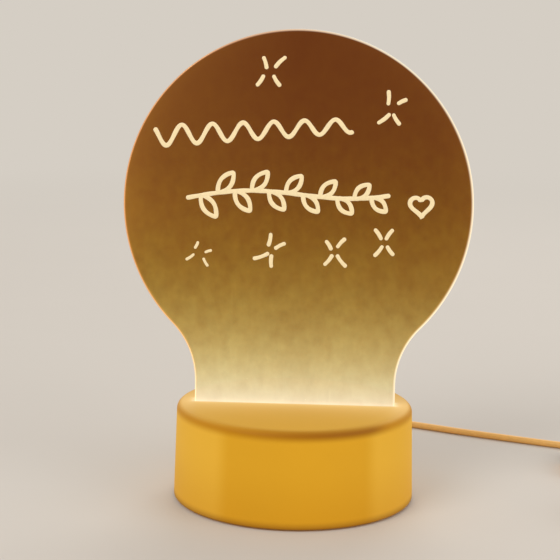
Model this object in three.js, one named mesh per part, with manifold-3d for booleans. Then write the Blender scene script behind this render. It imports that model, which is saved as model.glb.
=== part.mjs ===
import * as THREE from 'three';
import { mergeVertices } from 'three/addons/utils/BufferGeometryUtils.js';
import Module from 'manifold-3d';

// An edge-lit writing board: a clear acrylic panel with a light-bulb outline stands in the slot of a
// round moulded base. LEDs in the base shine up into the panel's foot. A thin cord leaves the back of
// the base, passes an in-line push switch and ends, after its coil, in a USB plug.
// Millimetres. +X runs along the panel, -Y is the front, +Z is up. The origin is on the table, under
// the middle of the base.

const wasm = await Module();
wasm.setup();

// Fits
const FIT_GAP = 0.3; // air between neighbouring pieces
const SOLDER_GAP = 0.1; // under what is soldered to the board
const CUT_OVERRUN = 1; // how far a cutter runs past the face that it opens
const ROOT_OVERLAP = 0.5; // how far a rib or boss sinks into the wall that carries it
const MERGE_TOLERANCE = 1e-4;

// Panel: a disc that narrows through two concave arcs to a straight neck
const PANEL_THICKNESS = 4;
const PANEL_DISC_RADIUS = 68.5;
const PANEL_DISC_HEIGHT = 79.1; // the disc's centre above the base's top face
const PANEL_NECK_WIDTH = 79.8;
const PANEL_BLEND_RADIUS = 33;
const PANEL_FOOT_DEPTH = 13; // how deep the neck stands in the base
const PANEL_FOOT_CHAMFER = 1;

// Base housing
const BASE_HEIGHT = 38; // its top face above the table
const BASE_MARGIN = 8.1; // from the neck's edge out to the bottom rim
const BASE_DRAFT = 1.1; // how much the radius shrinks from the rim to the top
const BASE_WALL = 2.2;
const BASE_PLATE = 2.4;
const BASE_TOP_ROUND = 2.4;
const BASE_RIM_ROUND = 0.8;
const BASE_RIM_LIFT = 0.6; // the rim above the table
const BASE_RIM_WALL = 1.3; // what the cover's rebate leaves of the wall

// Guide channel under the slot, which holds the panel's foot and carries the LED board
const CHANNEL_WALL = 2;
const CHANNEL_LEDGE_LENGTH = 4; // how far each end block reaches in under the panel
const CHANNEL_LEDGE_DEPTH = 4.6;
const RIB_THICKNESS = 1.5;
const RIB_DEPTH = 6;
const RIB_SPACING = 28;

// Bosses for the cover's screws, each tied to the wall by a web
const BOSS_COUNT = 4;
const BOSS_RADIUS = 3.5;
const BOSS_INSET = 14; // from the rim in to the boss's axis
const BOSS_PILOT_DEPTH = 9;
const BOSS_WEB_CLEARANCE = 6; // from the boss's lower end up to its web

// Bottom cover
const COVER_THICKNESS = 2;
const COVER_INSET = 0.4; // its underside above the rim
const COVER_LIP_HEIGHT = 2;
const COVER_LIP_THICKNESS = 1.5;
const COVER_PAD_RADIUS = 4.4;
const COVER_PAD_HEIGHT = 2.2;
const COVER_COUNTERBORE_DEPTH = 2.4;
const COVER_RIB_HEIGHT = 1.4;
const COVER_RIB_THICKNESS = 1.2;

// Rubber feet
const FOOT_COUNT = 4;
const FOOT_RADIUS = 4.5;
const FOOT_THICKNESS = 1.5;
const FOOT_INSET = 14; // from the rim in to the foot's axis
const FOOT_EDGE = 0.4;

// Cover screws and board screws
const COVER_SCREW = { headRadius: 2.3, headHeight: 1.6, shankRadius: 1.2, length: 9, point: 1.4 };
const BOARD_SCREW = { headRadius: 1.8, headHeight: 1.2, shankRadius: 0.8, length: 4.6, point: 0.8 };
const BOARD_PILOT_CLEARANCE = 0.4; // past the board screw's point

// LED board
const BOARD_WIDTH = 10;
const BOARD_THICKNESS = 1.2;
const LED_COUNT = 8;
const LED_LENGTH = 3.5;
const LED_WIDTH = 2.8;
const LED_HEIGHT = 0.8;
const RESISTOR_COUNT = 3;
const RESISTOR_LENGTH = 3.2;
const RESISTOR_WIDTH = 1.6;
const RESISTOR_HEIGHT = 0.6;
const RESISTOR_SPACING = 12;
const RESISTOR_OFFSET = 2.6; // in front of the board's middle line
const PAD_SPACING = 7; // between the two wires' solder pads
const PAD_OFFSET = 3; // behind the board's middle line

// Cord, its gland in the rear wall, and the two wires inside
const CORD_DIAMETER = 3;
const GLAND_HEIGHT = 9; // its axis above the table
const GLAND_NECK_RADIUS = 2.6;
const GLAND_FLANGE_RADIUS = 3.7;
const GLAND_FLANGE_THICKNESS = 1.4;
const RELIEF_ROOT_RADIUS = 3;
const RELIEF_TIP_RADIUS = 2.1;
const RELIEF_LENGTH = 9;
const RELIEF_GROOVE_DEPTH = 0.6;
const RELIEF_RINGS = 3;
const INNER_CORD_LENGTH = 8;
const WIRE_DIAMETER = 1.1;

// In-line push switch, lying on the table in line with the cord
const SWITCH_X = 167;
const SWITCH_Y = 20;
const SWITCH_LENGTH = 32;
const SWITCH_WIDTH = 13;
const SWITCH_HEIGHT = 9;
const SWITCH_CORNER = 4.5;
const SWITCH_NOSE_WIDTH = 6.6;
const SWITCH_NOSE_LENGTH = 6;
const SWITCH_EDGE = 1.3;
const SWITCH_ROOF = 1.5; // wall over the button's flange
const SWITCH_FLOOR = 1.2; // wall under the contact block
const BUTTON_RADIUS = 3.6;
const BUTTON_PROUD = 1.9;
const BUTTON_TRAVEL = 1.5;
const BUTTON_CROWN = 0.6; // rounding of the cap's edge
const BUTTON_FLANGE_WIDTH = 0.9;
const BUTTON_FLANGE_THICKNESS = 0.8;
const CONTACT_BLOCK_LENGTH = 8;
const CONTACT_BLOCK_WIDTH = 6.6;

// Coil of spare cord: four layers that spiral in and out again, and the tie round its turns
const COIL_Y = -28;
const COIL_OUTER_RADIUS = 22; // of the outermost turn's centre line
const COIL_INNER_RADIUS = 12.9;
const COIL_LAYERS = 4;
const COIL_TURNS = 10.5;
const COIL_LAYER_GAP = 0.45;
const COIL_CLIMB_SHARE = 0.5; // of a turn, centred on each reversal
const TIE_WIDTH = 7;
const TIE_THICKNESS = 0.6;

// USB plug, lying flat on the table
const PLUG_Y = 31; // where its ribbed relief meets the overmoulding
const PLUG_WIDTH = 15.6;
const PLUG_HEIGHT = 8;
const PLUG_LENGTH = 23;
const PLUG_CORNER = 2;
const PLUG_EDGE = 1;
const PLUG_GRIP_LENGTH = 10;
const PLUG_GRIP_WIDTH = 8;
const PLUG_GRIP_DEPTH = 0.5;
const SHELL_WIDTH = 12;
const SHELL_HEIGHT = 4.5;
const SHELL_WALL = 0.4;
const SHELL_CORNER = 0.7;
const SHELL_REACH = 12; // past the overmoulding
const SHELL_SEAT = 3; // inside the overmoulding
const LATCH_SIZE = 2.2;
const LATCH_SPACING = 5.2;
const LATCH_SETBACK = 5.2; // from the shell's mouth
const TONGUE_THICKNESS = 1.8;
const TONGUE_ROOT = 2.4; // the block that fills the back of the shell
const TONGUE_SETBACK = 1.2; // from the shell's mouth
const CONTACT_INNER_SPACING = 2; // between the two middle contacts
const CONTACT_OUTER_SPACING = 7;
const CONTACT_WIDTH = 1;
const CONTACT_THICKNESS = 0.3;
const CONTACT_LENGTH = 7.5;

// Facets
const BASE_SIDES = 96;
const BOSS_SIDES = 20;
const SCREW_SIDES = 16;
const FOOT_SIDES = 28;
const CORD_SIDES = 8;
const CORD_STEP = 7.5; // between the sections of a free stretch of cord
const COIL_STEPS = 24; // a turn
const COIL_SIDES = 6;
const PANEL_SEGMENTS = 36;
const SWITCH_SEGMENTS = 6;
const ROUND_STEPS = 4;

// Places that several pieces share
const baseRadius = PANEL_NECK_WIDTH / 2 + BASE_MARGIN;
const slotHalfLength = PANEL_NECK_WIDTH / 2 + FIT_GAP;
const slotHalfWidth = PANEL_THICKNESS / 2 + FIT_GAP;
const channelHalfLength = slotHalfLength + CHANNEL_WALL;
const channelHalfWidth = slotHalfWidth + CHANNEL_WALL;
const windowHalfLength = slotHalfLength - CHANNEL_LEDGE_LENGTH;
const plateZ = BASE_HEIGHT - BASE_PLATE;
const panelFootZ = BASE_HEIGHT - PANEL_FOOT_DEPTH;
const ledgeZ = panelFootZ - FIT_GAP;
const channelZ = ledgeZ - CHANNEL_LEDGE_DEPTH;
const boardTopZ = channelZ - FIT_GAP;
const boardZ = boardTopZ - BOARD_THICKNESS;
const coverZ = BASE_RIM_LIFT + COVER_INSET;
const coverTopZ = coverZ + COVER_THICKNESS;
const rebateZ = coverTopZ + FIT_GAP;
const padTopZ = coverTopZ + COVER_PAD_HEIGHT;
const bossZ = padTopZ + FIT_GAP;
const bossCircle = baseRadius - BOSS_INSET;
const footCircle = baseRadius - FOOT_INSET;
const boardScrewX = ( windowHalfLength + channelHalfLength ) / 2;
const cordRadius = CORD_DIAMETER / 2;
const switchMidZ = SWITCH_HEIGHT / 2;
const coilX = SWITCH_X - COIL_OUTER_RADIUS;
const coilZ = TIE_THICKNESS + FIT_GAP + cordRadius;
const coilLayerPitch = CORD_DIAMETER + COIL_LAYER_GAP;
const plugX = coilX - COIL_OUTER_RADIUS;
const plugMidZ = PLUG_HEIGHT / 2;

// The outer and inner radius of the drafted wall at a height
const outerRadiusAt = z => baseRadius - BASE_DRAFT * ( z - BASE_RIM_LIFT ) / ( BASE_HEIGHT - BASE_RIM_LIFT );
const innerRadiusAt = z => outerRadiusAt( z ) - BASE_WALL;

const material = ( color, roughness, metalness = 0, more = {} ) =>
	new THREE.MeshStandardMaterial( { color, roughness, metalness, ...more } );

const finishes = {
	acrylic: material( 0xe8cf94, 0.08, 0, { transparent: true, opacity: 0.45, emissive: 0x6b4a1a } ),
	housing: material( 0xe0a748, 0.42 ),
	rubber: material( 0x3a3836, 0.9 ),
	steel: material( 0xb9bcc0, 0.35, 1 ),
	board: material( 0xe9e6dc, 0.5 ),
	led: material( 0xf7dc8b, 0.3, 0, { emissive: 0xffc060 } ),
	resistor: material( 0x26272b, 0.45 ),
	cord: material( 0xd6a25c, 0.5 ),
	redWire: material( 0xb3241f, 0.5 ),
	blackWire: material( 0x222222, 0.5 ),
	button: material( 0xc9c3b6, 0.4 ),
	contact: material( 0xc9a24a, 0.3, 1 ),
	tie: material( 0x2b2b2d, 0.6 ),
};

// A closed geometry as a solid that can be joined and cut
function solid( geometry ) {

	const bare = geometry.clone();
	bare.deleteAttribute( 'normal' );
	bare.deleteAttribute( 'uv' );
	const merged = mergeVertices( bare, MERGE_TOLERANCE );
	const index = merged.index.array;
	const triangles = [];
	for ( let i = 0; i < index.length; i += 3 ) {

		const [ a, b, c ] = index.slice( i, i + 3 );
		if ( a !== b && b !== c && c !== a ) triangles.push( a, b, c );

	}

	return new wasm.Manifold( new wasm.Mesh( {
		numProp: 3,
		vertProperties: new Float32Array( merged.attributes.position.array ),
		triVerts: new Uint32Array( triangles ),
	} ) );

}

function geometryOf( manifold ) {

	const mesh = manifold.getMesh();
	const geometry = new THREE.BufferGeometry();
	geometry.setAttribute( 'position', new THREE.BufferAttribute( mesh.vertProperties, 3 ) );
	geometry.setIndex( new THREE.BufferAttribute( mesh.triVerts, 1 ) );
	geometry.computeVertexNormals();
	return geometry;

}

// Joins the first geometry with those of the second list and cuts those of the third from it
function shaped( first, joined = [], cut = [] ) {

	let result = solid( first );
	for ( const geometry of joined ) result = result.add( solid( geometry ) );
	for ( const geometry of cut ) result = result.subtract( solid( geometry ) );
	return geometryOf( result );

}

// A profile of [radius, height] points, walked with the solid on its left, turned round Z
function revolve( profile, sides ) {

	const points = profile.map( ( [ radius, z ] ) => new THREE.Vector2( radius, z ) );
	return new THREE.LatheGeometry( points, sides ).rotateX( Math.PI / 2 );

}

const aroundY = geometry => geometry.rotateX( - Math.PI / 2 );

// [radius, height] points of a round edge, between two angles in quarter turns
function roundEdge( radius, z, edge, from, to ) {

	const points = [];
	for ( let i = 0; i <= ROUND_STEPS; i ++ ) {

		const angle = ( from + ( to - from ) * i / ROUND_STEPS ) * Math.PI / 2;
		points.push( [ radius + edge * Math.cos( angle ), z + edge * Math.sin( angle ) ] );

	}

	return points;

}

function block( [ x0, x1 ], [ y0, y1 ], [ z0, z1 ] ) {

	return new THREE.BoxGeometry( x1 - x0, y1 - y0, z1 - z0 )
		.translate( ( x0 + x1 ) / 2, ( y0 + y1 ) / 2, ( z0 + z1 ) / 2 );

}

function rod( radius, [ z0, z1 ], sides, x = 0, y = 0 ) {

	return new THREE.CylinderGeometry( radius, radius, z1 - z0, sides )
		.rotateX( Math.PI / 2 ).translate( x, y, ( z0 + z1 ) / 2 );

}

function roundedRectangle( width, height, corner ) {

	const [ x, y ] = [ width / 2 - corner, height / 2 - corner ];
	const shape = new THREE.Shape();
	shape.absarc( x, - y, corner, - Math.PI / 2, 0 );
	shape.absarc( x, y, corner, 0, Math.PI / 2 );
	shape.absarc( - x, y, corner, Math.PI / 2, Math.PI );
	shape.absarc( - x, - y, corner, Math.PI, Math.PI * 1.5 );
	return shape;

}

// A shape raised along Z from zero to a height, with rounded rims where an edge is given
function raise( shape, height, edge = 0, curveSegments = ROUND_STEPS ) {

	return new THREE.ExtrudeGeometry( shape, {
		depth: height - 2 * edge, curveSegments, bevelEnabled: edge > 0,
		bevelThickness: edge, bevelSize: edge, bevelOffset: - edge, bevelSegments: 2,
	} ).translate( 0, 0, edge );

}

// The places of pieces spaced evenly round the base's axis
function around( count, radius, firstShare = 0 ) {

	return Array.from( { length: count }, ( _, i ) => {

		const angle = ( i + firstShare ) / count * 2 * Math.PI;
		return [ radius * Math.cos( angle ), radius * Math.sin( angle ), angle ];

	} );

}

// The [radius, distance] points of a tapered relief with grooves between its rings
function reliefProfile( start ) {

	const points = [];
	const bands = 2 * RELIEF_RINGS;
	for ( let i = 0; i < bands; i ++ ) {

		const [ near, far ] = [ i / bands, ( i + 1 ) / bands ];
		const depth = i % 2 === 1 ? RELIEF_GROOVE_DEPTH : 0;
		for ( const along of [ near, far ] ) {

			const taper = RELIEF_ROOT_RADIUS + ( RELIEF_TIP_RADIUS - RELIEF_ROOT_RADIUS ) * along;
			points.push( [ taper - depth, start + RELIEF_LENGTH * along ] );

		}

	}

	return points;

}

function screw( { headRadius, headHeight, shankRadius, length, point } ) {

	return revolve( [
		[ 0, - headHeight ],
		[ headRadius - headHeight / 2, - headHeight ],
		[ headRadius, - headHeight / 2 ],
		[ headRadius, 0 ],
		[ shankRadius, 0 ],
		[ shankRadius, length - point ],
		[ 0, length ],
	], SCREW_SIDES );

}

// The panel's outline, from its foot's middle upwards, drawn in its own plane
function panelOutline() {

	const half = PANEL_NECK_WIDTH / 2;
	const discY = PANEL_FOOT_DEPTH + PANEL_DISC_HEIGHT;
	const blendX = half + PANEL_BLEND_RADIUS;
	const reach = PANEL_DISC_RADIUS + PANEL_BLEND_RADIUS;
	const rise = Math.sqrt( reach ** 2 - blendX ** 2 );
	const blendY = discY - rise;
	const meet = Math.atan2( rise, blendX ); // the blend's angle where it meets the disc
	const shape = new THREE.Shape();
	shape.moveTo( - half + PANEL_FOOT_CHAMFER, 0 );
	shape.lineTo( half - PANEL_FOOT_CHAMFER, 0 );
	shape.lineTo( half, PANEL_FOOT_CHAMFER );
	shape.absarc( blendX, blendY, PANEL_BLEND_RADIUS, Math.PI, Math.PI - meet, true );
	shape.absarc( 0, discY, PANEL_DISC_RADIUS, - meet, Math.PI + meet );
	shape.absarc( - blendX, blendY, PANEL_BLEND_RADIUS, meet, 0, true );
	shape.lineTo( - half, PANEL_FOOT_CHAMFER );
	return shape;

}

function acrylicPanel() {

	return new THREE.ExtrudeGeometry( panelOutline(), {
		depth: PANEL_THICKNESS, curveSegments: PANEL_SEGMENTS, bevelEnabled: false,
	} ).rotateX( Math.PI / 2 ).translate( 0, PANEL_THICKNESS / 2, 0 );

}

// The wall, top plate and rebate of the housing in one profile
function housingBody() {

	const topCentre = [ outerRadiusAt( BASE_HEIGHT ) - BASE_TOP_ROUND, BASE_HEIGHT - BASE_TOP_ROUND ];
	const rimCentre = [ outerRadiusAt( BASE_RIM_LIFT ) - BASE_RIM_ROUND, BASE_RIM_LIFT + BASE_RIM_ROUND ];
	const rebateRadius = baseRadius - BASE_RIM_WALL;
	return revolve( [
		[ 0, plateZ ],
		[ innerRadiusAt( plateZ ), plateZ ],
		[ innerRadiusAt( rebateZ ), rebateZ ],
		[ rebateRadius, rebateZ ],
		[ rebateRadius, BASE_RIM_LIFT ],
		...roundEdge( ...rimCentre, BASE_RIM_ROUND, - 1, 0 ),
		...roundEdge( ...topCentre, BASE_TOP_ROUND, 0, 1 ),
		[ 0, BASE_HEIGHT ],
	], BASE_SIDES );

}

function baseShell() {

	const carried = [ plateZ, plateZ + ROOT_OVERLAP ];
	const joined = [ block(
		[ - channelHalfLength, channelHalfLength ],
		[ - channelHalfWidth, channelHalfWidth ],
		[ channelZ, carried[ 1 ] ],
	) ];
	for ( const side of [ - 1, 1 ] ) {

		const x = side * RIB_SPACING / 2;
		const reach = Math.sqrt( innerRadiusAt( plateZ ) ** 2 - x ** 2 ) + ROOT_OVERLAP;
		joined.push( block(
			[ x - RIB_THICKNESS / 2, x + RIB_THICKNESS / 2 ],
			[ - reach, reach ],
			[ plateZ - RIB_DEPTH, carried[ 1 ] ],
		) );

	}

	const cut = [
		block(
			[ - slotHalfLength, slotHalfLength ],
			[ - slotHalfWidth, slotHalfWidth ],
			[ ledgeZ, BASE_HEIGHT + CUT_OVERRUN ],
		),
		block(
			[ - windowHalfLength, windowHalfLength ],
			[ - slotHalfWidth, slotHalfWidth ],
			[ channelZ - CUT_OVERRUN, ledgeZ + CUT_OVERRUN ],
		),
	];
	const pilotTop = boardZ - FIT_GAP + BOARD_SCREW.length + BOARD_PILOT_CLEARANCE;
	for ( const side of [ - 1, 1 ] ) {

		cut.push( rod(
			BOARD_SCREW.shankRadius + FIT_GAP, [ channelZ - CUT_OVERRUN, pilotTop ], SCREW_SIDES,
			side * boardScrewX,
		) );

	}

	for ( const [ x, y, angle ] of around( BOSS_COUNT, bossCircle, 0.5 ) ) {

		const reach = innerRadiusAt( plateZ ) + ROOT_OVERLAP;
		joined.push( rod( BOSS_RADIUS, [ bossZ, carried[ 1 ] ], BOSS_SIDES, x, y ) );
		joined.push( block(
			[ bossCircle, reach ],
			[ - RIB_THICKNESS / 2, RIB_THICKNESS / 2 ],
			[ bossZ + BOSS_WEB_CLEARANCE, carried[ 1 ] ],
		).rotateZ( angle ) );
		cut.push( rod(
			COVER_SCREW.shankRadius + FIT_GAP, [ bossZ - CUT_OVERRUN, bossZ + BOSS_PILOT_DEPTH ],
			SCREW_SIDES, x, y,
		) );

	}

	const notchRadius = GLAND_NECK_RADIUS + FIT_GAP;
	const notchY = [ innerRadiusAt( plateZ ) - CUT_OVERRUN, baseRadius + CUT_OVERRUN ];
	cut.push( block( [ - notchRadius, notchRadius ], notchY, [ - CUT_OVERRUN, GLAND_HEIGHT ] ) );
	cut.push( aroundY( rod( notchRadius, notchY, BOSS_SIDES ) ).translate( 0, 0, GLAND_HEIGHT ) );
	return shaped( housingBody(), joined, cut );

}

function coverPlate() {

	const radius = baseRadius - BASE_RIM_WALL - FIT_GAP;
	const lipRadius = innerRadiusAt( rebateZ + COVER_LIP_HEIGHT ) - FIT_GAP;
	const lipInner = lipRadius - COVER_LIP_THICKNESS;
	return revolve( [
		[ 0, coverZ ],
		[ radius, coverZ ],
		[ radius, coverTopZ ],
		[ lipRadius, coverTopZ ],
		[ lipRadius, coverTopZ + COVER_LIP_HEIGHT ],
		[ lipInner, coverTopZ + COVER_LIP_HEIGHT ],
		[ lipInner, coverTopZ ],
		[ 0, coverTopZ ],
	], BASE_SIDES );

}

// The tongue that closes the wall's notch under the gland, flush with the wall outside
function coverTongue() {

	const half = GLAND_NECK_RADIUS;
	const outside = revolve( [
		[ 0, coverZ ],
		[ outerRadiusAt( coverZ ), coverZ ],
		[ outerRadiusAt( GLAND_HEIGHT ), GLAND_HEIGHT ],
		[ 0, GLAND_HEIGHT ],
	], BASE_SIDES );
	const fromY = innerRadiusAt( GLAND_HEIGHT );
	const tongue = block(
		[ - half, half ], [ fromY, baseRadius + CUT_OVERRUN ], [ coverZ, GLAND_HEIGHT - half / 2 ],
	);
	const gland = aroundY( rod(
		GLAND_NECK_RADIUS + FIT_GAP, [ fromY - CUT_OVERRUN, baseRadius + CUT_OVERRUN ], BOSS_SIDES,
	) ).translate( 0, 0, GLAND_HEIGHT );
	return geometryOf( solid( outside ).intersect( solid( tongue ) ).subtract( solid( gland ) ) );

}

function bottomCover() {

	const joined = [ coverTongue() ];
	const cut = [];
	const overlapZ = coverTopZ - ROOT_OVERLAP;
	for ( const [ x, y ] of around( BOSS_COUNT, bossCircle, 0.5 ) ) {

		joined.push( rod( COVER_PAD_RADIUS, [ overlapZ, padTopZ ], BOSS_SIDES, x, y ) );
		cut.push( rod(
			COVER_SCREW.headRadius + FIT_GAP, [ coverZ - CUT_OVERRUN, coverZ + COVER_COUNTERBORE_DEPTH ],
			BOSS_SIDES, x, y,
		) );
		cut.push( rod(
			COVER_SCREW.shankRadius + FIT_GAP, [ coverZ, padTopZ + CUT_OVERRUN ], SCREW_SIDES, x, y,
		) );

	}

	for ( const [ x, y ] of around( FOOT_COUNT, footCircle ) ) {

		cut.push( rod(
			FOOT_RADIUS + FIT_GAP, [ coverZ - CUT_OVERRUN, FOOT_THICKNESS + FIT_GAP ], FOOT_SIDES, x, y,
		) );

	}

	for ( const turn of [ 0, Math.PI / 2 ] ) {

		joined.push( block(
			[ - footCircle, footCircle ],
			[ - COVER_RIB_THICKNESS / 2, COVER_RIB_THICKNESS / 2 ],
			[ overlapZ, coverTopZ + COVER_RIB_HEIGHT ],
		).rotateZ( turn ) );

	}

	return shaped( coverPlate(), joined, cut );

}

function foot() {

	return revolve( [
		[ 0, 0 ],
		[ FOOT_RADIUS - FOOT_EDGE, 0 ],
		[ FOOT_RADIUS, FOOT_EDGE ],
		[ FOOT_RADIUS, FOOT_THICKNESS ],
		[ 0, FOOT_THICKNESS ],
	], FOOT_SIDES );

}

function ledBoard() {

	const outline = new THREE.Shape( [ [ - 1, - 1 ], [ 1, - 1 ], [ 1, 1 ], [ - 1, 1 ] ].map(
		( [ x, y ] ) => new THREE.Vector2( x * channelHalfLength, y * BOARD_WIDTH / 2 ),
	) );
	for ( const side of [ - 1, 1 ] ) {

		const hole = new THREE.Path();
		hole.absarc( side * boardScrewX, 0, BOARD_SCREW.shankRadius + FIT_GAP, 0, 2 * Math.PI, true );
		outline.holes.push( hole );

	}

	return raise( outline, BOARD_THICKNESS, 0, SCREW_SIDES / 2 ); // a full circle takes twice as many

}

// The gland's groove holds the wall between its two flanges, and its ribbed tail guards the cord
function strainRelief() {

	const insideY = innerRadiusAt( GLAND_HEIGHT + GLAND_FLANGE_RADIUS ) - FIT_GAP;
	const outsideY = outerRadiusAt( GLAND_HEIGHT ) + FIT_GAP;
	const tailY = outsideY + GLAND_FLANGE_THICKNESS;
	return aroundY( revolve( [
		[ 0, insideY - GLAND_FLANGE_THICKNESS ],
		[ GLAND_FLANGE_RADIUS, insideY - GLAND_FLANGE_THICKNESS ],
		[ GLAND_FLANGE_RADIUS, insideY ],
		[ GLAND_NECK_RADIUS, insideY ],
		[ GLAND_NECK_RADIUS, outsideY ],
		[ GLAND_FLANGE_RADIUS, outsideY ],
		[ GLAND_FLANGE_RADIUS, tailY ],
		...reliefProfile( tailY ),
		[ 0, tailY + RELIEF_LENGTH ],
	], BOSS_SIDES ) );

}

const innerCordY = () =>
	innerRadiusAt( GLAND_HEIGHT + GLAND_FLANGE_RADIUS ) - GLAND_FLANGE_THICKNESS - 2 * FIT_GAP;

// A round lead along a smooth curve through points, with flat ends
function lead( points, radius, step = CORD_STEP ) {

	const curve = new THREE.CatmullRomCurve3( points.map( p => new THREE.Vector3( ...p ) ) );
	const section = new THREE.Shape( Array.from( { length: CORD_SIDES }, ( _, i ) => {

		const angle = ( i + 0.5 ) / CORD_SIDES * 2 * Math.PI;
		return new THREE.Vector2( radius * Math.cos( angle ), radius * Math.sin( angle ) );

	} ) );
	return new THREE.ExtrudeGeometry( section, {
		steps: Math.ceil( curve.getLength() / step ), extrudePath: curve, bevelEnabled: false,
	} );

}

function wire( side ) {

	const start = innerCordY() - INNER_CORD_LENGTH - FIT_GAP;
	const padX = side * PAD_SPACING / 2;
	const endZ = boardZ - SOLDER_GAP;
	const rise = endZ - GLAND_HEIGHT;
	const apart = side * ( WIRE_DIAMETER + FIT_GAP ) / 2;
	const run = start - PAD_OFFSET;
	const shares = [ [ 0, 0, 0 ], [ 0.2, 0.1, 0 ], [ 0.5, 0.5, 0.04 ], [ 0.8, 0.85, 0.25 ], [ 0.97, 1, 0.65 ],
		[ 1, 1, 1 ] ];
	return lead( shares.map( ( [ back, out, up ] ) =>
		[ apart + ( padX - apart ) * out, start - run * back, GLAND_HEIGHT + rise * up ] ),
	WIRE_DIAMETER / 2, 2 * WIRE_DIAMETER );

}

// The free cord's route, chosen by hand: out of the gland, down to the table, round behind the base
// and off to the right, where the photograph's cord leaves its picture, and on to the switch
const cordRoute = [
	[ 0, 58.6, 9 ], [ 0, 64, 8.9 ], [ 0, 70, 7.8 ], [ 0, 76, 5.6 ], [ 0.1, 82, 3.4 ], [ 0.8, 89, 1.9 ],
	[ 2.6, 96.4, 1.5 ], [ 7.6, 105, 1.5 ], [ 15.4, 111.4, 1.5 ], [ 25, 114.6, 1.5 ], [ 35, 114.6, 1.5 ],
	[ 44, 111.8, 1.5 ], [ 52.5, 107.9, 1.5 ], [ 61.5, 103.6, 1.5 ], [ 70.5, 99.2, 1.5 ], [ 79.5, 95, 1.5 ],
	[ 88.5, 91.1, 1.5 ], [ 97.5, 87.3, 1.5 ], [ 106, 83.7, 1.5 ], [ 114, 80.4, 1.5 ], [ 122, 77.3, 1.5 ],
	[ 130.5, 74.3, 1.5 ], [ 139.5, 71.2, 1.5 ], [ 148, 67.4, 1.5 ], [ 155.8, 62, 1.5 ], [ 161.8, 54.8, 1.6 ],
	[ 165.6, 46.6, 2.5 ], [ 167, 41, 3.8 ], [ 167, 36.3, 4.5 ],
];
const leadRoute = [
	[ 167, 3.7, 4.5 ], [ 167, - 1, 4.4 ], [ 167, - 8, 3.5 ], [ 167, - 15, 2.7 ], [ 167, - 20, 2.4 ],
	[ 167, - 24.7, 2.4 ],
];
const tailRoute = [
	[ 123, - 24.7, 12.75 ], [ 123, - 20, 12.3 ], [ 123, - 14, 10.4 ], [ 123, - 8, 7.4 ], [ 123.1, - 2, 4.6 ],
	[ 123.2, 4, 2.6 ], [ 123.2, 9.5, 2 ], [ 123.1, 14, 2.8 ], [ 123, 18, 3.8 ], [ 123, 21.7, 4 ],
];

// The switch's outline seen from above: a rounded body that narrows to a nose at each end
function switchOutline() {

	const [ half, noseHalf ] = [ SWITCH_WIDTH / 2, SWITCH_NOSE_WIDTH / 2 ];
	const [ end, shoulder ] = [ SWITCH_LENGTH / 2, SWITCH_LENGTH / 2 - SWITCH_NOSE_LENGTH ];
	const [ lipY, bodyY ] = [ end - SWITCH_EDGE, shoulder - SWITCH_CORNER ];
	const corners = [ [ 1, 1 ], [ - 1, 1 ], [ - 1, - 1 ], [ 1, - 1 ] ];
	const shape = new THREE.Shape();
	shape.moveTo( half, - bodyY );
	corners.forEach( ( [ sx, sy ] ) => {

		const walk = [
			() => shape.lineTo( sx * half, sy * bodyY ),
			() => shape.bezierCurveTo(
				sx * half, sy * shoulder, sx * noseHalf, sy * shoulder, sx * noseHalf, sy * lipY,
			),
			() => shape.lineTo( sx * noseHalf, sy * end ),
		];
		const back = [
			() => shape.lineTo( sx * noseHalf, sy * end ),
			() => shape.lineTo( sx * noseHalf, sy * lipY ),
			() => shape.bezierCurveTo(
				sx * noseHalf, sy * shoulder, sx * half, sy * shoulder, sx * half, sy * bodyY,
			),
		];
		( sx === sy ? walk : back ).forEach( draw => draw() );

	} );
	return shape;

}

const switchBody = () => solid( raise( switchOutline(), SWITCH_HEIGHT, SWITCH_EDGE, SWITCH_SEGMENTS ) );

function switchHalf( [ z0, z1 ], cut ) {

	const [ x, y ] = [ SWITCH_WIDTH, SWITCH_LENGTH ];
	let half = switchBody().intersect( solid( block( [ - x, x ], [ - y, y ], [ z0, z1 ] ) ) );
	for ( const geometry of cut ) half = half.subtract( solid( geometry ) );
	return geometryOf( half );

}

const buttonFlangeTop = SWITCH_HEIGHT - SWITCH_ROOF - FIT_GAP;
const buttonFlangeZ = buttonFlangeTop - BUTTON_FLANGE_THICKNESS;
const contactBlockTop = buttonFlangeZ - BUTTON_TRAVEL - FIT_GAP;
const seamZ = [ switchMidZ - FIT_GAP / 2, switchMidZ + FIT_GAP / 2 ];

function switchCaseUpper() {

	const wellRadius = BUTTON_RADIUS + FIT_GAP;
	return switchHalf( [ seamZ[ 1 ], SWITCH_HEIGHT + CUT_OVERRUN ], [
		rod( wellRadius, [ 0, SWITCH_HEIGHT + CUT_OVERRUN ], FOOT_SIDES ),
		rod( wellRadius + BUTTON_FLANGE_WIDTH, [ 0, SWITCH_HEIGHT - SWITCH_ROOF ], FOOT_SIDES ),
	] );

}

function switchCaseLower() {

	const [ x, y ] = [ CONTACT_BLOCK_WIDTH / 2 + FIT_GAP, CONTACT_BLOCK_LENGTH / 2 + FIT_GAP ];
	return switchHalf( [ - CUT_OVERRUN, seamZ[ 0 ] ], [
		block( [ - x, x ], [ - y, y ], [ SWITCH_FLOOR, SWITCH_HEIGHT ] ),
	] );

}

function contactBlock() {

	const [ x, y ] = [ CONTACT_BLOCK_WIDTH / 2, CONTACT_BLOCK_LENGTH / 2 ];
	return block( [ - x, x ], [ - y, y ], [ SWITCH_FLOOR + FIT_GAP, contactBlockTop ] );

}

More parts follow.
